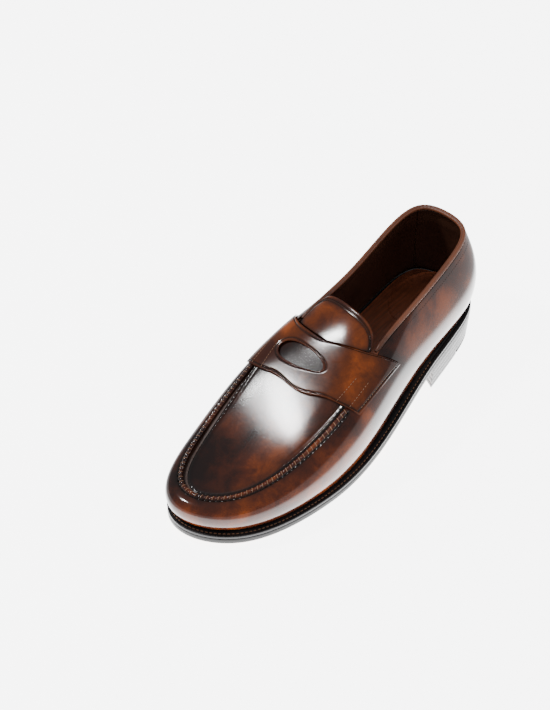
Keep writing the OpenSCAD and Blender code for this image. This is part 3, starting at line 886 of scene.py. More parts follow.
def tubes(name, lines, radius, material, sides=6):
    """Short lengths of thread, each a thin closed tube along its line."""
    verts, faces, base = [], [], 0
    turn = np.arange(sides) * 2 * math.pi / sides
    for points, normals in lines:
        t = unit(np.gradient(points, axis=0))
        b = unit(np.cross(normals, t))
        n = np.cross(t, b)
        size = np.full(len(points), radius)
        size[0] = size[-1] = radius * .45
        round_about = np.cos(turn)[None, :, None] * b[:, None] + np.sin(turn)[None, :, None] * n[:, None]
        verts.append((points[:, None] + size[:, None, None] * round_about).reshape(-1, 3))
        m = len(points)
        for i in range(m - 1):
            low, high = base + i * sides, base + (i + 1) * sides
            faces += [(low + j, low + (j + 1) % sides, high + (j + 1) % sides, high + j) for j in range(sides)]
        faces.append(tuple(base + j for j in reversed(range(sides))))
        faces.append(tuple(base + (m - 1) * sides + j for j in range(sides)))
        base += m * sides
    return make_piece(name, verts, faces, material)


def hollow_back(a, w):
    """Draws the back edge of a sheet over the instep into its curve."""
    back = 4.43 - np.minimum(.09, .25 * (np.abs(w) / .28) ** 1.2)
    return np.where(a < APRON_HOLD, back + (a - APRON_BACK) * (APRON_HOLD - back) / (APRON_HOLD - APRON_BACK), a)


def make_apron(sizes):
    a = np.concatenate([np.linspace(APRON_BACK, 7.2, 170), np.linspace(7.2, 8, 70)[1:]])
    t = np.sin(np.linspace(-1, 1, 141) * math.pi * .46) / math.sin(math.pi * .46)
    reach = 1 - seam_v(a) + .002
    w = reach[:, None] * t[None, :]
    aa = a[:, None] + np.zeros_like(w)
    aa = hollow_back(aa, w)
    slope = seam_slope(a, 1 - reach)
    s = (1 - np.abs(t))[None, :] * (reach * slope)[:, None]
    u = np.where(w >= 0, aa, 16 - aa)
    run = np.interp(aa, a, line_length(skin(a, 1 - reach)))
    pinch = np.cos(run * 2 * math.pi / (sizes.seam_pitch * 1e3))
    front = smooth((aa - 4.93) / .06)
    roll = .3 * bump_at(s, 1.5, .9) * (1 + .25 * pinch)
    lift = front * (-.35 * bump_at(s, 0, .5) + roll - .1 * bump_at(s, 3.4, 1.))
    at_tip = over(aa, w) + normal(u, 1 - np.abs(w)) * lift[..., None]
    points = np.where((aa > 7.8)[..., None], at_tip, at_over(aa, w, lift))
    points[-1] = (points[-1] + points[-1, ::-1]) / 2
    # Painted shade: the last term darkens the apron under the strap, where it shows through the slot, and just in front
    # of the strap's front edge. The other terms burn the dye in beside the seam.
    worn_and_painted_light = near_edge(s, 1.6, .7) + .3 * near_edge(s, 5.) + .35 * near_edge(s, 12.) + .4 * smooth((5.25 - aa) / .3)
    worn_and_painted_light = worn_and_painted_light + .25 * smooth((aa - 6.6) / 1.2)
    piece = lay("apron_leather", points.swapaxes(0, 1), np.clip(worn_and_painted_light, 0, 1).swapaxes(0, 1))
    face_out(piece)
    thicken(piece, LEATHER, .25)
    return finish(piece, stuff("apron_calf"), replaces=["apron"], angle=60)


def face_out(piece, up=True):
    """Turns an open sheet over if it lies face down."""
    mesh = piece.data
    mesh.update()
    high = sum(p.normal.z * p.area for p in mesh.polygons)
    if (high < 0) == up:
        pick_up(piece)
        bpy.ops.object.mode_set(mode="EDIT")
        bpy.ops.mesh.select_all(action="SELECT")
        bpy.ops.mesh.flip_normals()
        bpy.ops.object.mode_set(mode="OBJECT")
    return piece


def strap_rim(fine=6):
    """The strap's outer edge, point by point, with the slot angle that faces each point."""
    line = []
    for k in np.arange(0, 6, 1 / fine):
        a = strap_front(.51) + (strap_back(.57) - strap_front(.51)) * k / 6
        line.append((a, strap_end(a), -30 + 60 * k / 6))
    for k in np.arange(0, 26, 1 / fine):
        t = 1 - k / 13
        line.append((strap_back(.573 * t), .573 * t, 90 - 60 * math.sin(math.pi / 2 * t)))
    for k in np.arange(0, 6, 1 / fine):
        a = strap_back(.57) + (strap_front(.51) - strap_back(.57)) * k / 6
        line.append((a, -strap_end(a), 150 + 60 * k / 6))
    for k in np.arange(0, 28, 1 / fine):
        t = k / 14 - 1
        line.append((strap_front(.51 * t), .51 * t, 270 + 60 * math.sin(math.pi / 2 * t)))
    return np.array(line)


def make_strap():
    rim = strap_rim()
    rim = np.concatenate([rim, rim[:1]])
    sa, sw = slot_point(np.radians(rim[:, 2]))
    long = np.linalg.norm(over(rim[:, 0], rim[:, 1]) - over(sa, sw), axis=-1)[:, None]
    lip = np.array([0, .2, .45, .75, 1.05, 1.4, 1.75, 2.1, 2.45, 2.8, 3.3, 4.])
    middle = np.linspace(0, 1, 14)[1:-1]
    j = np.concatenate([lip / long, 4 / long + (1 - 8 / long) * middle, 1 - lip[::-1] / long], 1)
    a = sa[:, None] + (rim[:, :1] - sa[:, None]) * j
    w = sw[:, None] + (rim[:, 1:2] - sw[:, None]) * j
    flat = over(a, w)
    outer = np.linalg.norm(flat - flat[:, -1:], axis=-1)
    inner = np.linalg.norm(flat - flat[:, :1], axis=-1)
    lift = 1.8 + .3 * bump_at(outer, .9, .8) - .35 * bump_at(outer, 2.35, .45)
    lift = lift + .3 * bump_at(inner, .9, .8) - .3 * bump_at(inner, 2.3, .4)
    ends = smooth((np.abs(w) - .26) / .2)
    lift = lift - .35 * ends * smooth(1 - outer / 5)
    points = at_over(a, w, lift)
    worn_and_painted_light = .6 * bump_at(outer, 2.5, .8) + .6 * bump_at(inner, 2.4, .7) + .3 * near_edge(outer, 9) + .1 * ends
    piece = lay("saddle_strap_leather", points, np.clip(worn_and_painted_light, 0, 1))
    face_out(piece)
    thicken(piece, STRAP_LEATHER, .4, 3)
    return finish(piece, stuff("strap_calf"), replaces=["saddle_strap"], angle=60)


def inset_line(a, w, distance, depth):
    """A line on the strap, drawn in from the edge (a, w) towards the left-hand side of its run."""
    p = over(a, w)
    n = over_normal(a, w)
    t = unit(np.gradient(p, axis=0))
    inward = unit(np.cross(n, t))
    da, dw = .01, .004
    ga = (over(a + da, w) - over(a - da, w)) / (2 * da)
    gw = (over(a, w + dw) - over(a, w - dw)) / (2 * dw)
    aa, ww = a.copy(), w.copy()
    for i in range(len(a)):
        step = np.linalg.lstsq(np.stack([ga[i], gw[i]], 1), inward[i] * distance, rcond=None)[0]
        aa[i] += step[0]
        ww[i] += step[1]
    return over_line(aa, ww, depth)


def inner_row(a, w, distance, depth):
    """Of the two lines beside an edge of the strap, the one on the strap itself."""
    middle = at_over(np.full(len(w), 4.7), w, np.full(len(w), 1.5))
    pair = [inset_line(a, w, distance * sign, depth) for sign in (-1, 1)]
    return min(pair, key=lambda line: np.linalg.norm(line[0] - middle, axis=-1).mean())


def make_strap_stitches():
    w = np.linspace(-.49, .49, 160)
    front = inner_row(strap_front(w), w, 2.3, 1.6)
    w = np.linspace(-.54, .54, 160)
    rows = [inner_row(strap_back(w), w, gap, 1.62) for gap in (1.8, 3.4)]
    turn = np.linspace(0, 2 * math.pi, 90)
    sa, sw = slot_point(turn)
    ring = [inset_line(sa, sw, 2.3 * sign, 1.62) for sign in (1, -1)]
    slot = max(ring, key=lambda r: line_length(r[0])[-1])
    sew("strap_stitches", [front, slot] + rows, 2.1, 1.55, .42, .4, stuff("dark_thread"))
    rows = []
    for side_of in (1, -1):
        for a0, w0, a1, w1 in ((4.56, .27, 4.99, .245), (4.47, .39, 4.93, .375)):
            a = np.linspace(a0, a1, 40)
            rows.append(over_line(a, side_of * (w0 + (w1 - w0) * (a - a0) / (a1 - a0)), 1.86))
        a = np.linspace(3.9, 4.8, 60)
        rows.append(over_line(a, side_of * (strap_end(a) - .035), 1.62))
    return sew("strap_end_stitches", rows, 2.3, 1.6, .45, .42, stuff("brown_thread"))


def tongue_end(t):
    return 4.37 - 30 * .021 + .8 * .225 * t + .17 * t ** 4


def tongue_points(trim, rows=60, across=81):
    t = np.linspace(1, -1, across)[None, :]
    w = TONGUE_HALF * t * (1 - trim)
    i = np.linspace(0, 1, rows)[:, None]
    a0 = tongue_end(t) + trim
    a1 = strap_back(w) - .026 - trim * .3
    a = a0 + (a1 - a0) * (1 - i)
    w = w + np.zeros_like(a)
    return a, w


def make_tongue():
    a, w = tongue_points(0)
    p = over(a, w)
    end = np.linalg.norm(p - p[-1:], axis=-1)
    lift = .2 * bump_at(end, .9, .8) - .3 * bump_at(end, 2.4, .45) - .25 * bump_at(end, 4.3, .45)
    points = at_over(a, w, lift)
    root = np.linalg.norm(p - p[:1], axis=-1)
    # Painted shade beside the root, where the tongue runs under the strap; dye burnt in round the stitched end and
    # along the sides.
    worn_and_painted_light = .8 * bump_at(end, 3.2, 2.) + near_edge(root, 3., .7) + .5 * smooth((np.abs(w) - .15) / .08)
    piece = lay("tongue_leather", points, np.clip(worn_and_painted_light, 0, 1))
    face_out(piece)
    thicken(piece, LEATHER, .25)
    finish(piece, stuff("tongue_calf"), "tongue_flap", ["tongue"], 60)
    a, w = tongue_points(.03)
    piece = lay("tongue_lining_leather", at_over(a, w, np.full(a.shape, -1.6)), np.full(a.shape, .2))
    face_out(piece)
    thicken(piece, TONGUE_LINING, .2)
    finish(piece, stuff("lining_calf"), "tongue_flap", ["tongue_lining"], 60)
    t = np.linspace(-.93, .93, 120)
    lines = [over_line(tongue_end(t) + back, TONGUE_HALF * t, 0.) for back in (.05, .092)]
    return sew("tongue_stitches", lines, 2.0, 1.5, .42, .42, stuff("dark_thread"), "tongue_flap")


def patch(name, u0, u1, v0, v1, depth, thick, material, replaces, worn_and_painted_light=.2, count=120, rows=36, rim=.2):
    u = np.linspace(u0, u1, count)[:, None]
    v = (v0 + (v1 - v0) * np.linspace(0, 1, rows))[None, :] + np.zeros_like(u)
    u = u + np.zeros_like(v)
    piece = lay(name, at(u, v, depth(u, v)), worn_and_painted_light + np.zeros_like(u) if np.isscalar(worn_and_painted_light) else worn_and_painted_light(u, v))
    thicken(piece, thick, rim)
    return finish(piece, material, replaces=replaces, angle=60)


def make_linings():
    calf = stuff("lining_calf")
    rim = lambda u, v: np.clip(.25 + near_edge((TOPLINE - v) * 60, 5, .3), 0, 1)
    for name, u0, u1, node_name in (("lateral_lining_leather", 1.01, 4.32, "quarter_lining_lateral"),
                                    ("medial_lining_leather", 11.68, 14.99, "quarter_lining_medial"),
                                    ("heel_lining_leather", -.99, .99, "heel_lining")):
        patch(name, u0, u1, .02, TOPLINE - .01, lining_depth, LINING, calf, [node_name], rim)
    a = np.concatenate([np.linspace(APRON_BACK, 7.2, 90), np.linspace(7.2, 8, 30)[1:]])
    t = np.linspace(-1, 1, 121)
    w = .98 * t[None, :] + np.zeros((len(a), 1))
    aa = a[:, None] + np.zeros_like(w)
    aa = hollow_back(aa, w)
    u = np.where(w >= 0, aa, 16 - aa)
    deep = lining_depth(u, 1 - np.abs(w))
    base = over(aa, w)
    n = np.where((np.abs(w) > .22)[..., None], normal(u, 1 - np.abs(w)), over_normal(aa, w))
    points = base + n * deep[..., None]
    points[-1] = (points[-1] + points[-1, ::-1]) / 2
    piece = lay("vamp_lining_leather", points.swapaxes(0, 1), np.full(aa.shape, .3).swapaxes(0, 1))
    face_out(piece)
    thicken(piece, TONGUE_LINING, 0)
    return finish(piece, calf, replaces=["vamp_lining"], angle=60)


def make_binding():
    u = np.linspace(-BINDING_END, BINDING_END, 420)
    p = skin(u, np.full(420, TOPLINE))
    n = normal(u, np.full(420, TOPLINE))
    up = unit(skin(u, np.full(420, TOPLINE + .01)) - skin(u, np.full(420, TOPLINE - .01)))
    centre = p + up * 1.95 - n * 1.35
    turn = np.linspace(0, 2 * math.pi, 33)[:-1]
    fade = smooth((BINDING_END - np.abs(u)) / .08) * .35 + .65
    wave = 1 + .02 * np.sin(line_length(p) * 2 * math.pi / 3.1)
    c, s = np.cos(turn), np.sin(turn)
    # A flat roll: wider than it is high, with the fine line where its fold is glued down
    wide = np.sign(c) * np.abs(c) ** .8 * 1.95
    high = np.sign(s) * np.abs(s) ** .8 * 1.75 - .22 * bump_at(c, -.1, .09) * (s > 0)
    roll = wide[None, :, None] * n[:, None] + high[None, :, None] * up[:, None]
    points = closed(centre[:, None] + (fade * wave)[:, None, None] * roll, 1)
    line = np.concatenate([bump_at(c, -.1, .12) * (s > 0), [0]])
    # Painted shade: the underside of the roll is darkened.
    under = np.append(.5 * (s < -.4), 0)
    worn_and_painted_light = np.clip((.8 * line + under)[None, :] + .5 * smooth((np.abs(u) - 3.4) / .6)[:, None], 0, 1)
    piece = cap_ends(lay("topline_binding_leather", points, worn_and_painted_light))
    finish(piece, stuff("binding_calf"), replaces=["topline_binding"], angle=60)
    below = np.full(260, TOPLINE - .058)
    lines = [at_line(np.linspace(lo, hi, 260), below, 0.) for lo, hi in ((.3, 4.), (12., 15.7))]
    return sew("topline_stitches", lines, 2.0, 1.5, .36, .34, stuff("dark_thread"))


def make_heel_tab():
    def worn_and_painted_light(u, v):
        return np.clip(near_edge((.24 - np.abs(u)) * 28, 1.5, .7) + near_edge((v - .5) * 70, 1.5, .7) + .2, 0, 1)

    patch("heel_tab_leather", -.24, .24, .5, TOPLINE - .02, lambda u, v: 1.2 + 0 * u, .85, stuff("dark_calf"),
          ["heel_tab"], worn_and_painted_light, 40, 40, .2)
    v = np.linspace(.515, TOPLINE - .03, 60)
    u = np.linspace(-.2, .2, 40)
    lines = [at_line(np.full(60, s), v, 1.25) for s in (-.2, .2)] + [at_line(u, np.full(40, .515), 1.25)]
    return sew("heel_tab_stitches", lines, 2.0, 1.45, .4, .38, stuff("dark_thread"))


def welt_section(u):
    """Top of the welt, its edge and its underside, with the wheel's marks across the top."""
    reach = reach_at(u)[:, None]
    run = line_length(feather(u))[:, None]
    mark = np.cos(run * 2 * math.pi / 3.1) ** 8
    root = np.full((len(u), 1), -3.)
    shelf = [reach - d for d in (3.6, 3.1, 2.6, 2.1, 1.5, .9, .45, .12, 0, 0, .12, .5)]
    out = np.concatenate([root, root + 2.6] + shelf + [root], 1)
    out[:, 1:7] = np.maximum(out[:, 1:7], out[:, :6] + .05)
    up = np.array([-.3, -.3, -.34, -.62, -.34, -.3, -.3, -.34, -.42, -.7, -1.1, -2.7, -3.1, -3.28, -3.3])
    up = up[None, :] + np.zeros_like(out)
    depth = np.zeros(15)
    depth[[6, 7, 8, 9]] = (.3, .38, .34, .2)
    up = up - depth[None, :] * mark
    return np.stack([out, up], -1)


def make_welt():
    u = np.linspace(2.53, 13.47, 1500)
    sec = welt_section(u)
    worn_and_painted_light = np.zeros(sec.shape[:2])
    worn_and_painted_light[:, [8, 9]] = .5
    piece = cap_ends(sweep("welt_leather", u, welt_section, worn_and_painted_light))
    finish(piece, stuff("welt_ink"), replaces=["welt"], angle=50)
    line = np.linspace(2.75, 13.25, 1500)
    grow = np.maximum(reach_at(line) - 2.6, .6)
    xy = edge(line, grow)
    points = np.concatenate([xy, (feather_z(xy[:, 1]) - .32)[:, None]], 1)
    up = np.tile([0., 0., 1.], (len(line), 1))
    sew("welt_stitches", [(points, up)], 3.1, 2.5, .85, .8, stuff("welt_thread"))
    u = np.linspace(-RAND_END, RAND_END, 400)
    piece = cap_ends(sweep("heel_rand_leather", u, welt_section))
    return finish(piece, stuff("welt_ink"), replaces=["heel_rand"], angle=50)


def slab(name, u, rings, material, replaces):
    """A flat piece under the foot. Each ring is (share out from the centre line, growth, height, wear)."""
    rows, worn_and_painted_light = [], []
    for share, grow, high, dark in rings:
        middle = per_column(SPINE, u)
        xy = middle + (edge(u, grow) - middle) * share
        rows.append(np.concatenate([xy, (feather_z(xy[:, 1]) + high)[:, None]], 1))
        worn_and_painted_light.append(np.full(len(u), dark))
    piece = outward(lay(name, closed(np.stack(rows, 1)), closed(np.stack(worn_and_painted_light, 1))))
    return finish(piece, material, replaces=replaces, angle=45)


def make_outsole():
    u = np.linspace(0, 16, 801)[:-1]
    reach = reach_at(u)
    flat = [0, .2, .4, .6, .8, .93]
    rim = ((.6, -3.62, 1.), (.15, -3.75, 1.), (0, -4.2, 1.), (-.05, -5.2, 1.), (-.05, -6.6, 1.), (.05, -7.7, 1.),
           (.35, -8.35, 1.), (.9, -8.58, 1.), (1.6, -8.6, .6), (2.2, -8.6, 0.))
    rings = [(t, reach - .5, -3.62, 0.) for t in flat] + [(1, reach - d, high, dark) for d, high, dark in rim]
    rings += [(t, reach - 2.2, -8.6, 0.) for t in flat[::-1]]
    slab("outsole_leather", u, rings, stuff("sole_bend"), ["outsole"])


def make_sock():
    u = np.linspace(0, 16, 321)[:-1]
    flat = [0, .15, .3, .45, .6, .75, .88, .96]
    inset, wider = np.full(len(u), -5.8), np.full(len(u), -5.1)
    rings = [(t, inset, 4.28 - .25 * (1 - t) * t, 0.) for t in flat]
    rings += [(1, inset, 4.2, .3), (1, wider, 4., .3), (1, wider, 3.4, .2), (1, inset, 3.3, 0.)]
    rings += [(t, inset, 3.3, 0.) for t in flat[::-1]]
    slab("sock_leather", u, rings, stuff("sock_calf"), ["sock_lining"])
    # The pad under the heel: a thin second layer with a skived rim
    turn = np.linspace(0, 2 * math.pi, 181)[:-1]
    cx, cy, rx, ry = 2.3, 112., 21.5, 30.
    share = np.array([0, .3, .6, .85, .94, .985, 1., 1., .9, .5, 0])
    high = np.array([4.9, 4.9, 4.9, 4.88, 4.84, 4.72, 4.55, 4.3, 4.3, 4.3, 4.3])
    shape = 1 - .07 * np.sin(turn) ** 2
    x = cx + rx * np.cos(turn)[:, None] * share * shape[:, None]
    y = cy + ry * np.sin(turn)[:, None] * share
    points = closed(np.stack([x, y, feather_z(y) + high], -1))
    # Painted highlight: the back half of the pad's rim is marked to be painted much paler
    painted_highlight = np.array([0, 0, .1, .3, .8, 1, 1, .4, 0, 0, 0])
    rim = painted_highlight[None, :] * smooth((np.append(np.sin(turn), 0) + .25) / .6)[:, None]
    piece = outward(lay("heel_sock_pad", points, rim))
    return finish(piece, stuff("sock_calf"), angle=50)


def hollow(line, centre_y, radius, count):
    """The arc that closes an outline from its last point back to its first."""
    a0, a1 = (math.atan2(line[k, 1] - centre_y, line[k, 0]) for k in (-1, 0))
    a = np.linspace(a0, a1, count)[1:-1]
    return np.stack([radius * np.cos(a), centre_y + radius * np.sin(a)], 1)


def heel_outline(trim, count=240):
    """The heel's outline in plan: round the back from breast to breast, then the hollow front."""
    u = np.linspace(-2.9, 2.9, 1200)
    xy = edge(u, reach_at(u) - trim)
    centre_y = HEEL_FRONT + 6 - BREAST_RADIUS
    keep = np.hypot(xy[:, 0], xy[:, 1] - centre_y) > BREAST_RADIUS
    xy = xy[keep]
    run = line_length(xy)
    s = np.linspace(0, run[-1], count)
    back = np.stack([np.interp(s, run, xy[:, i]) for i in (0, 1)], 1)
    return np.concatenate([back, hollow(back, centre_y, BREAST_RADIUS, 60)])


def block(name, outline, low, high, material, replaces, rim=.35):
    """Cuts a layer to an outline: a filled ring, extruded up, with its edges ironed round."""
    put_down()
    bpy.ops.mesh.primitive_circle_add(vertices=len(outline), radius=1, fill_type="NGON")
    piece = bpy.context.object
    piece.name = piece.data.name = name
    flat = np.concatenate([outline, np.full((len(outline), 1), low)], 1)
    piece.data.vertices.foreach_set("co", ((flat - MIDDLE) * .001).reshape(-1))
    piece.data.update()
    bpy.ops.object.mode_set(mode="EDIT")
    bpy.ops.mesh.select_all(action="SELECT")
    bpy.ops.mesh.extrude_region_move(TRANSFORM_OT_translate={"value": (0, 0, (high - low) * .001)})
    bpy.ops.object.mode_set(mode="OBJECT")
    outward(piece)
    pick_up(piece)
    cut = piece.modifiers.new("ironed edge", "BEVEL")
    cut.width, cut.segments, cut.limit_method, cut.angle_limit = rim * .001, 2, "ANGLE", math.radians(55)
    bpy.ops.object.modifier_apply(modifier="ironed edge")
    burnish_and_painted_light = piece.data.attributes.new("burnish_and_painted_light", "FLOAT", "POINT")
    burnish_and_painted_light.data.foreach_set("value", np.full(len(piece.data.vertices), .15))
    return finish(piece, material, replaces=replaces, angle=35)


def make_heel():
    lift = (HEEL_HEIGHT - TOP_PIECE - 4 * GAP) / 3
    for index in (1, 2, 3):
        low = TOP_PIECE + GAP + (3 - index) * (lift + GAP)
        node_name = "heel_lift_%d" % index
        block(node_name + "_leather", heel_outline(.5 * index), low - .15, low + lift + .15, stuff("stack_ink"),
              [node_name], .02)
    whole = heel_outline(2.)
    tip_centre = TIP_Y - BREAST_RADIUS
    far = np.hypot(whole[:, 0], whole[:, 1] - tip_centre)
    front, tip = far < BREAST_RADIUS - GAP, far > BREAST_RADIUS
    first = np.argmax(~front)
    front_line = np.concatenate([whole[first + np.sum(~front[:240]):], whole[:first]])
    for name, part, radius, node_name, slot, material in (
            ("top_piece_leather", front_line, BREAST_RADIUS - GAP, "top_piece", "sole_leather", "stack_ink"),
            ("top_piece_rubber_tip", whole[tip], BREAST_RADIUS, "top_piece_rubber", "rubber", "tip_rubber")):
        outline = np.concatenate([part, hollow(part, tip_centre, radius, 50)])
        block(name, outline, 0., TOP_PIECE, stuff(material), [node_name], .3)
    u = np.concatenate([np.linspace(-2.3, -1.2, 5), np.linspace(1.2, 2.3, 5)])
    return make_pins(edge(u, reach_at(u) - 6.5))


def make_pins(places):
    put_down()
    bpy.ops.mesh.primitive_cylinder_add(vertices=14, radius=.9, depth=1.2)
    model, sides = take_model()
    verts, faces = [], []
    for k, (x, y) in enumerate(places):
        verts.append(model + np.array([x, y, .54]))
        faces += [tuple(i + k * len(model) for i in f) for f in sides]
    return make_piece("heel_pins", verts, faces, stuff("brass_pins"), angle=30)


def finish_hidden_parts():
    """The pieces that are closed in keep their own shapes and get their own stuffs."""
    for name, material in (("toe_puff", "leather_board"), ("heel_counter", "leather_board"), ("insole", "insole_bend"),
                           ("insole_rib", "rib_canvas"), ("shank", "spring_steel"), ("cork_filler", "ground_cork"),
                           ("seat_filler", "ground_cork")):
        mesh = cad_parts[name].data
        mesh.materials.clear()
        mesh.materials.append(stuff(material))


# ---------------------------------------------------------------- stage
def aim(obj, place, target):
    obj.location = place
    obj.rotation_euler = (Vector(target) - Vector(place)).to_track_quat("-Z", "Y").to_euler()


def softbox(name, place, target, size, power, tall=None):
    data = bpy.data.lights.new(name, "AREA")
    data.shape, data.size, data.size_y = "RECTANGLE", size, tall or size
    data.energy = power
    light = bpy.data.objects.new(name, data)
    bpy.context.collection.objects.link(light)
    aim(light, place, target)
    return light


def set_stage(look):
    put_down()
    bpy.ops.mesh.primitive_plane_add(size=8)
    floor = bpy.context.object
    floor.name = "floor"
    material, tree, shader, place = start_finish("floor_paper")
    cloud = noise(tree, place, 3, 2, .5)
    tree.links.new(blend_colour(tree, cloud, (.86, .86, .86, 1), (.88, .88, .88, 1)), shader.inputs["Base Color"])
    shader.inputs["Roughness"].default_value = .9
    # The paper glows most close round the shoe, so that the walls mirror it only low down
    near = node(tree, "Mapping")
    near.inputs["Scale"].default_value = (2.4, 1., 1.)
    tree.links.new(place, near.inputs["Vector"])
    away = node(tree, "VectorMath", operation="LENGTH")
    tree.links.new(near.outputs[0], away.inputs[0])
    fade = stepped(tree, away.outputs["Value"], .27, .2)
    seen = tree.nodes.new("ShaderNodeLightPath").outputs["Is Camera Ray"]
    thrown = blend_colour(tree, fade, (.13, .13, .13, 1), (look.bounce, look.bounce, look.bounce, 1))
    tree.links.new(blend_colour(tree, seen, thrown, (1, 1, 1, 1)), shader.inputs["Emission Color"])
    shader.inputs["Emission Strength"].default_value = look.floor_glow
    floor.data.materials.append(material)
    floor.location.z = -.0004
    world = bpy.data.worlds.new("studio")
    bpy.context.scene.world = world
    world.use_nodes = True
    sky = world.node_tree.nodes["Background"]
    sky.inputs["Color"].default_value = (.95, .97, 1, 1)
    sky.inputs["Strength"].default_value = look.sky
    target = (Vector((0, 0, 35)) - Vector(MIDDLE)) * .001
    main, back = target + Vector((-.43, -.3, .852)) * 1.3, target + Vector((.75, .75, .55)) * 1.2
    softbox("main_softbox", main, target, .075, look.main_light, .17)
    softbox("back_softbox", back, target + Vector((0, .1, .03)), .07, look.back_light, .7)
    data = bpy.data.cameras.new("camera")
    camera = bpy.data.objects.new("camera", data)
    bpy.context.collection.objects.link(camera)
    turn, rise = math.radians(39), math.radians(48)
    back = Vector((math.sin(turn) * math.cos(rise), -math.cos(turn) * math.cos(rise), math.sin(rise)))
    aim(camera, target + back * 1.5, target)
    data.lens, data.shift_x, data.shift_y = 105.97, -.069, .039
    data.clip_end = 20
    bpy.context.scene.camera = camera


# ---------------------------------------------------------------- add-on
class LoaferSizes(bpy.types.PropertyGroup):
    bead_width: bpy.props.FloatProperty(
        name="Seam edge width", description="Width of the raised edge round the apron", default=.0036, min=.002,
        max=.006, unit="LENGTH", precision=4)
    bead_height: bpy.props.FloatProperty(
        name="Seam edge height", description="Height of the raised edge round the apron", default=.0014, min=.0004,
        max=.003, unit="LENGTH", precision=4)
    seam_pitch: bpy.props.FloatProperty(
        name="Seam stitch spacing", description="Distance between stitches of the apron seam", default=.0038,
        min=.002, max=.008, unit="LENGTH", precision=4)


class LoaferColours(bpy.types.PropertyGroup):
    ground: bpy.props.FloatVectorProperty(
        name="Dark dye", description="Darkest clouds of the patina", subtype="COLOR", default=(.017, .0046, .0030),
        min=0, max=1)
    body: bpy.props.FloatVectorProperty(
        name="Brown dye", description="Main colour of the upper leather", subtype="COLOR",
        default=(.094, .0180, .0052), min=0, max=1)
    glow: bpy.props.FloatVectorProperty(
        name="Light dye", description="Lightest clouds of the patina", subtype="COLOR", default=(.350, .0720, .0080),
        min=0, max=1)
    lining: bpy.props.FloatVectorProperty(
        name="Lining", description="Lining leather", subtype="COLOR", default=(.110, .0430, .0250), min=0, max=1)
    binding: bpy.props.FloatVectorProperty(
        name="Topline binding", description="Binding round the opening", subtype="COLOR", default=(.230, .072, .032),
        min=0, max=1)
    sock: bpy.props.FloatVectorProperty(
        name="Sock", description="Sock leather inside", subtype="COLOR", default=(.300, .0860, .0380), min=0, max=1)
    thread: bpy.props.FloatVectorProperty(
        name="Thread", description="Light brown waxed thread", subtype="COLOR", default=(.460, .250, .150), min=0,
        max=1)
    ink: bpy.props.FloatVectorProperty(
        name="Edge ink", description="Ink on the welt and the sole's edge", subtype="COLOR",
        default=(.010, .0095, .0105), min=0, max=1)
    rubbed: bpy.props.FloatVectorProperty(
        name="Rubbed ink", description="Ink where it is rubbed", subtype="COLOR", default=(.040, .038, .040), min=0,
        max=1)


class LoaferStage(bpy.types.PropertyGroup):
    floor_glow: bpy.props.FloatProperty(
        name="Floor glow", description="Light given off by the paper floor", default=6.2, min=0)
    bounce: bpy.props.FloatProperty(
        name="Bounce", description="Share of the floor's glow that it throws on the shoe", default=1.1, min=0, max=2)
    sky: bpy.props.FloatProperty(
        name="Room light", description="Even light of the room", default=.5, min=0)
    main_light: bpy.props.FloatProperty(
        name="Main softbox", description="Power of the main softbox", default=8., min=0, unit="POWER")
    back_light: bpy.props.FloatProperty(
        name="Back softbox", description="Power of the tall light at the back", default=1.6, min=0, unit="POWER")


class LOAFER_OT_side_wall(bpy.types.Operator):
    """Make the long side wall with its raised, pinched seam edge"""
    bl_idname = "loafer.side_wall"
    bl_label = "Side wall"

    def execute(self, context):
        make_side_wall(context.scene.loafer_sizes)
        return {"FINISHED"}


class LOAFER_OT_apron(bpy.types.Operator):
    """Make the apron"""
    bl_idname = "loafer.apron"
    bl_label = "Apron"

    def execute(self, context):
        make_apron(context.scene.loafer_sizes)
        return {"FINISHED"}


class LOAFER_OT_apron_seam(bpy.types.Operator):
    """Sew the apron to the side wall"""
    bl_idname = "loafer.apron_seam"
    bl_label = "Apron seam stitches"

    def execute(self, context):
        make_seam_stitches(context.scene.loafer_sizes)
        return {"FINISHED"}


class LOAFER_OT_strap(bpy.types.Operator):
    """Make the saddle strap with its slot"""
    bl_idname = "loafer.strap"
    bl_label = "Saddle strap"

    def execute(self, context):
        make_strap()
        return {"FINISHED"}


class LOAFER_OT_strap_stitches(bpy.types.Operator):
    """Sew round the strap, its slot and its ends"""
    bl_idname = "loafer.strap_stitches"
    bl_label = "Strap stitches"

    def execute(self, context):
        make_strap_stitches()
        return {"FINISHED"}


class LOAFER_OT_tongue(bpy.types.Operator):
    """Make the tongue, its lining and its double row of stitches"""
    bl_idname = "loafer.tongue"
    bl_label = "Tongue"

    def execute(self, context):
        make_tongue()
        return {"FINISHED"}


class LOAFER_OT_linings(bpy.types.Operator):
    """Line the vamp, the quarters and the heel"""
    bl_idname = "loafer.linings"
    bl_label = "Linings"

    def execute(self, context):
        make_linings()
        return {"FINISHED"}


class LOAFER_OT_binding(bpy.types.Operator):
    """Roll the binding round the topline and sew below it"""
    bl_idname = "loafer.binding"
    bl_label = "Topline binding"

    def execute(self, context):
        make_binding()
        return {"FINISHED"}


class LOAFER_OT_heel_tab(bpy.types.Operator):
    """Make the tab over the back seam"""
    bl_idname = "loafer.heel_tab"
    bl_label = "Heel tab"

    def execute(self, context):
        make_heel_tab()
        return {"FINISHED"}


class LOAFER_OT_sock(bpy.types.Operator):
    """Lay the sock and its heel pad"""
    bl_idname = "loafer.sock"
    bl_label = "Sock"

    def execute(self, context):
        make_sock()
        return {"FINISHED"}


class LOAFER_OT_welt(bpy.types.Operator):
    """Make the stitched welt and the heel rand"""
    bl_idname = "loafer.welt"
    bl_label = "Welt and rand"

    def execute(self, context):
        make_welt()
        return {"FINISHED"}


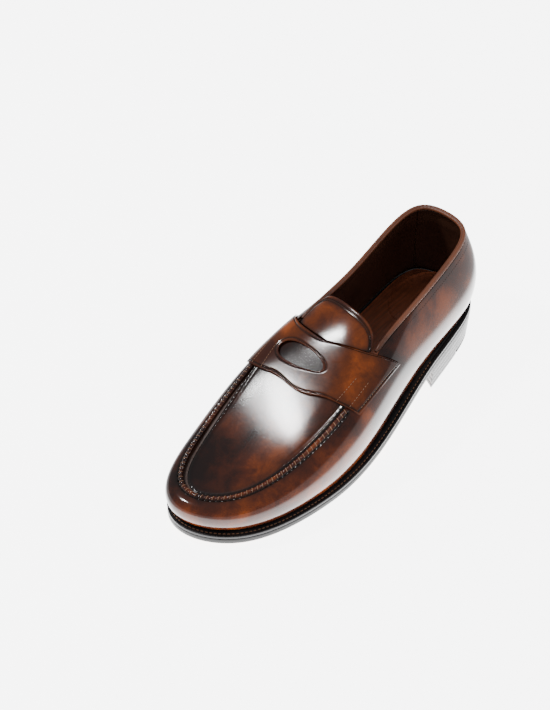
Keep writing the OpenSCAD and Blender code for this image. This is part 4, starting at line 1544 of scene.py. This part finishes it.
class LOAFER_OT_outsole(bpy.types.Operator):
    """Make the outsole with its inked edge"""
    bl_idname = "loafer.outsole"
    bl_label = "Outsole"

    def execute(self, context):
        make_outsole()
        return {"FINISHED"}


class LOAFER_OT_heel(bpy.types.Operator):
    """Stack the heel: lifts, top piece, rubber tip and pins"""
    bl_idname = "loafer.heel"
    bl_label = "Heel stack"

    def execute(self, context):
        make_heel()
        return {"FINISHED"}


class LOAFER_OT_hidden_parts(bpy.types.Operator):
    """Give the closed-in parts their stuffs"""
    bl_idname = "loafer.hidden_parts"
    bl_label = "Hidden parts"

    def execute(self, context):
        finish_hidden_parts()
        return {"FINISHED"}


class LOAFER_OT_stage(bpy.types.Operator):
    """Set the floor, the lights and the camera"""
    bl_idname = "loafer.stage"
    bl_label = "Stage"

    def execute(self, context):
        set_stage(context.scene.loafer_stage)
        return {"FINISHED"}


STEPS = (LOAFER_OT_side_wall, LOAFER_OT_apron, LOAFER_OT_apron_seam, LOAFER_OT_strap, LOAFER_OT_strap_stitches,
         LOAFER_OT_tongue, LOAFER_OT_linings, LOAFER_OT_binding, LOAFER_OT_heel_tab, LOAFER_OT_sock, LOAFER_OT_welt,
         LOAFER_OT_outsole, LOAFER_OT_heel, LOAFER_OT_hidden_parts, LOAFER_OT_stage)


class LOAFER_PT_panel(bpy.types.Panel):
    """Lists the sizes, the colours and the steps"""
    bl_idname = "LOAFER_PT_panel"
    bl_label = "Leather loafer"
    bl_space_type = "VIEW_3D"
    bl_region_type = "UI"
    bl_category = "Loafer"

    def draw(self, context):
        for group in (context.scene.loafer_sizes, context.scene.loafer_colours, context.scene.loafer_stage):
            box = self.layout.box()
            for name in group.__annotations__:
                box.prop(group, name)
        for step in STEPS:
            self.layout.operator(step.bl_idname)


GROUP_CLASSES = (LoaferSizes, LoaferColours, LoaferStage)


def register():
    for item in GROUP_CLASSES + STEPS + (LOAFER_PT_panel,):
        bpy.utils.register_class(item)
    bpy.types.Scene.loafer_sizes = bpy.props.PointerProperty(type=LoaferSizes)
    bpy.types.Scene.loafer_colours = bpy.props.PointerProperty(type=LoaferColours)
    bpy.types.Scene.loafer_stage = bpy.props.PointerProperty(type=LoaferStage)


def unregister():
    del bpy.types.Scene.loafer_stage
    del bpy.types.Scene.loafer_colours
    del bpy.types.Scene.loafer_sizes
    for item in reversed(GROUP_CLASSES + STEPS + (LOAFER_PT_panel,)):
        bpy.utils.unregister_class(item)


def main():
    register()
    for step in STEPS:
        family, name = step.bl_idname.split(".")
        getattr(getattr(bpy.ops, family), name)()
    bpy.context.view_layer.update()


if __name__ == "__main__":
    main()
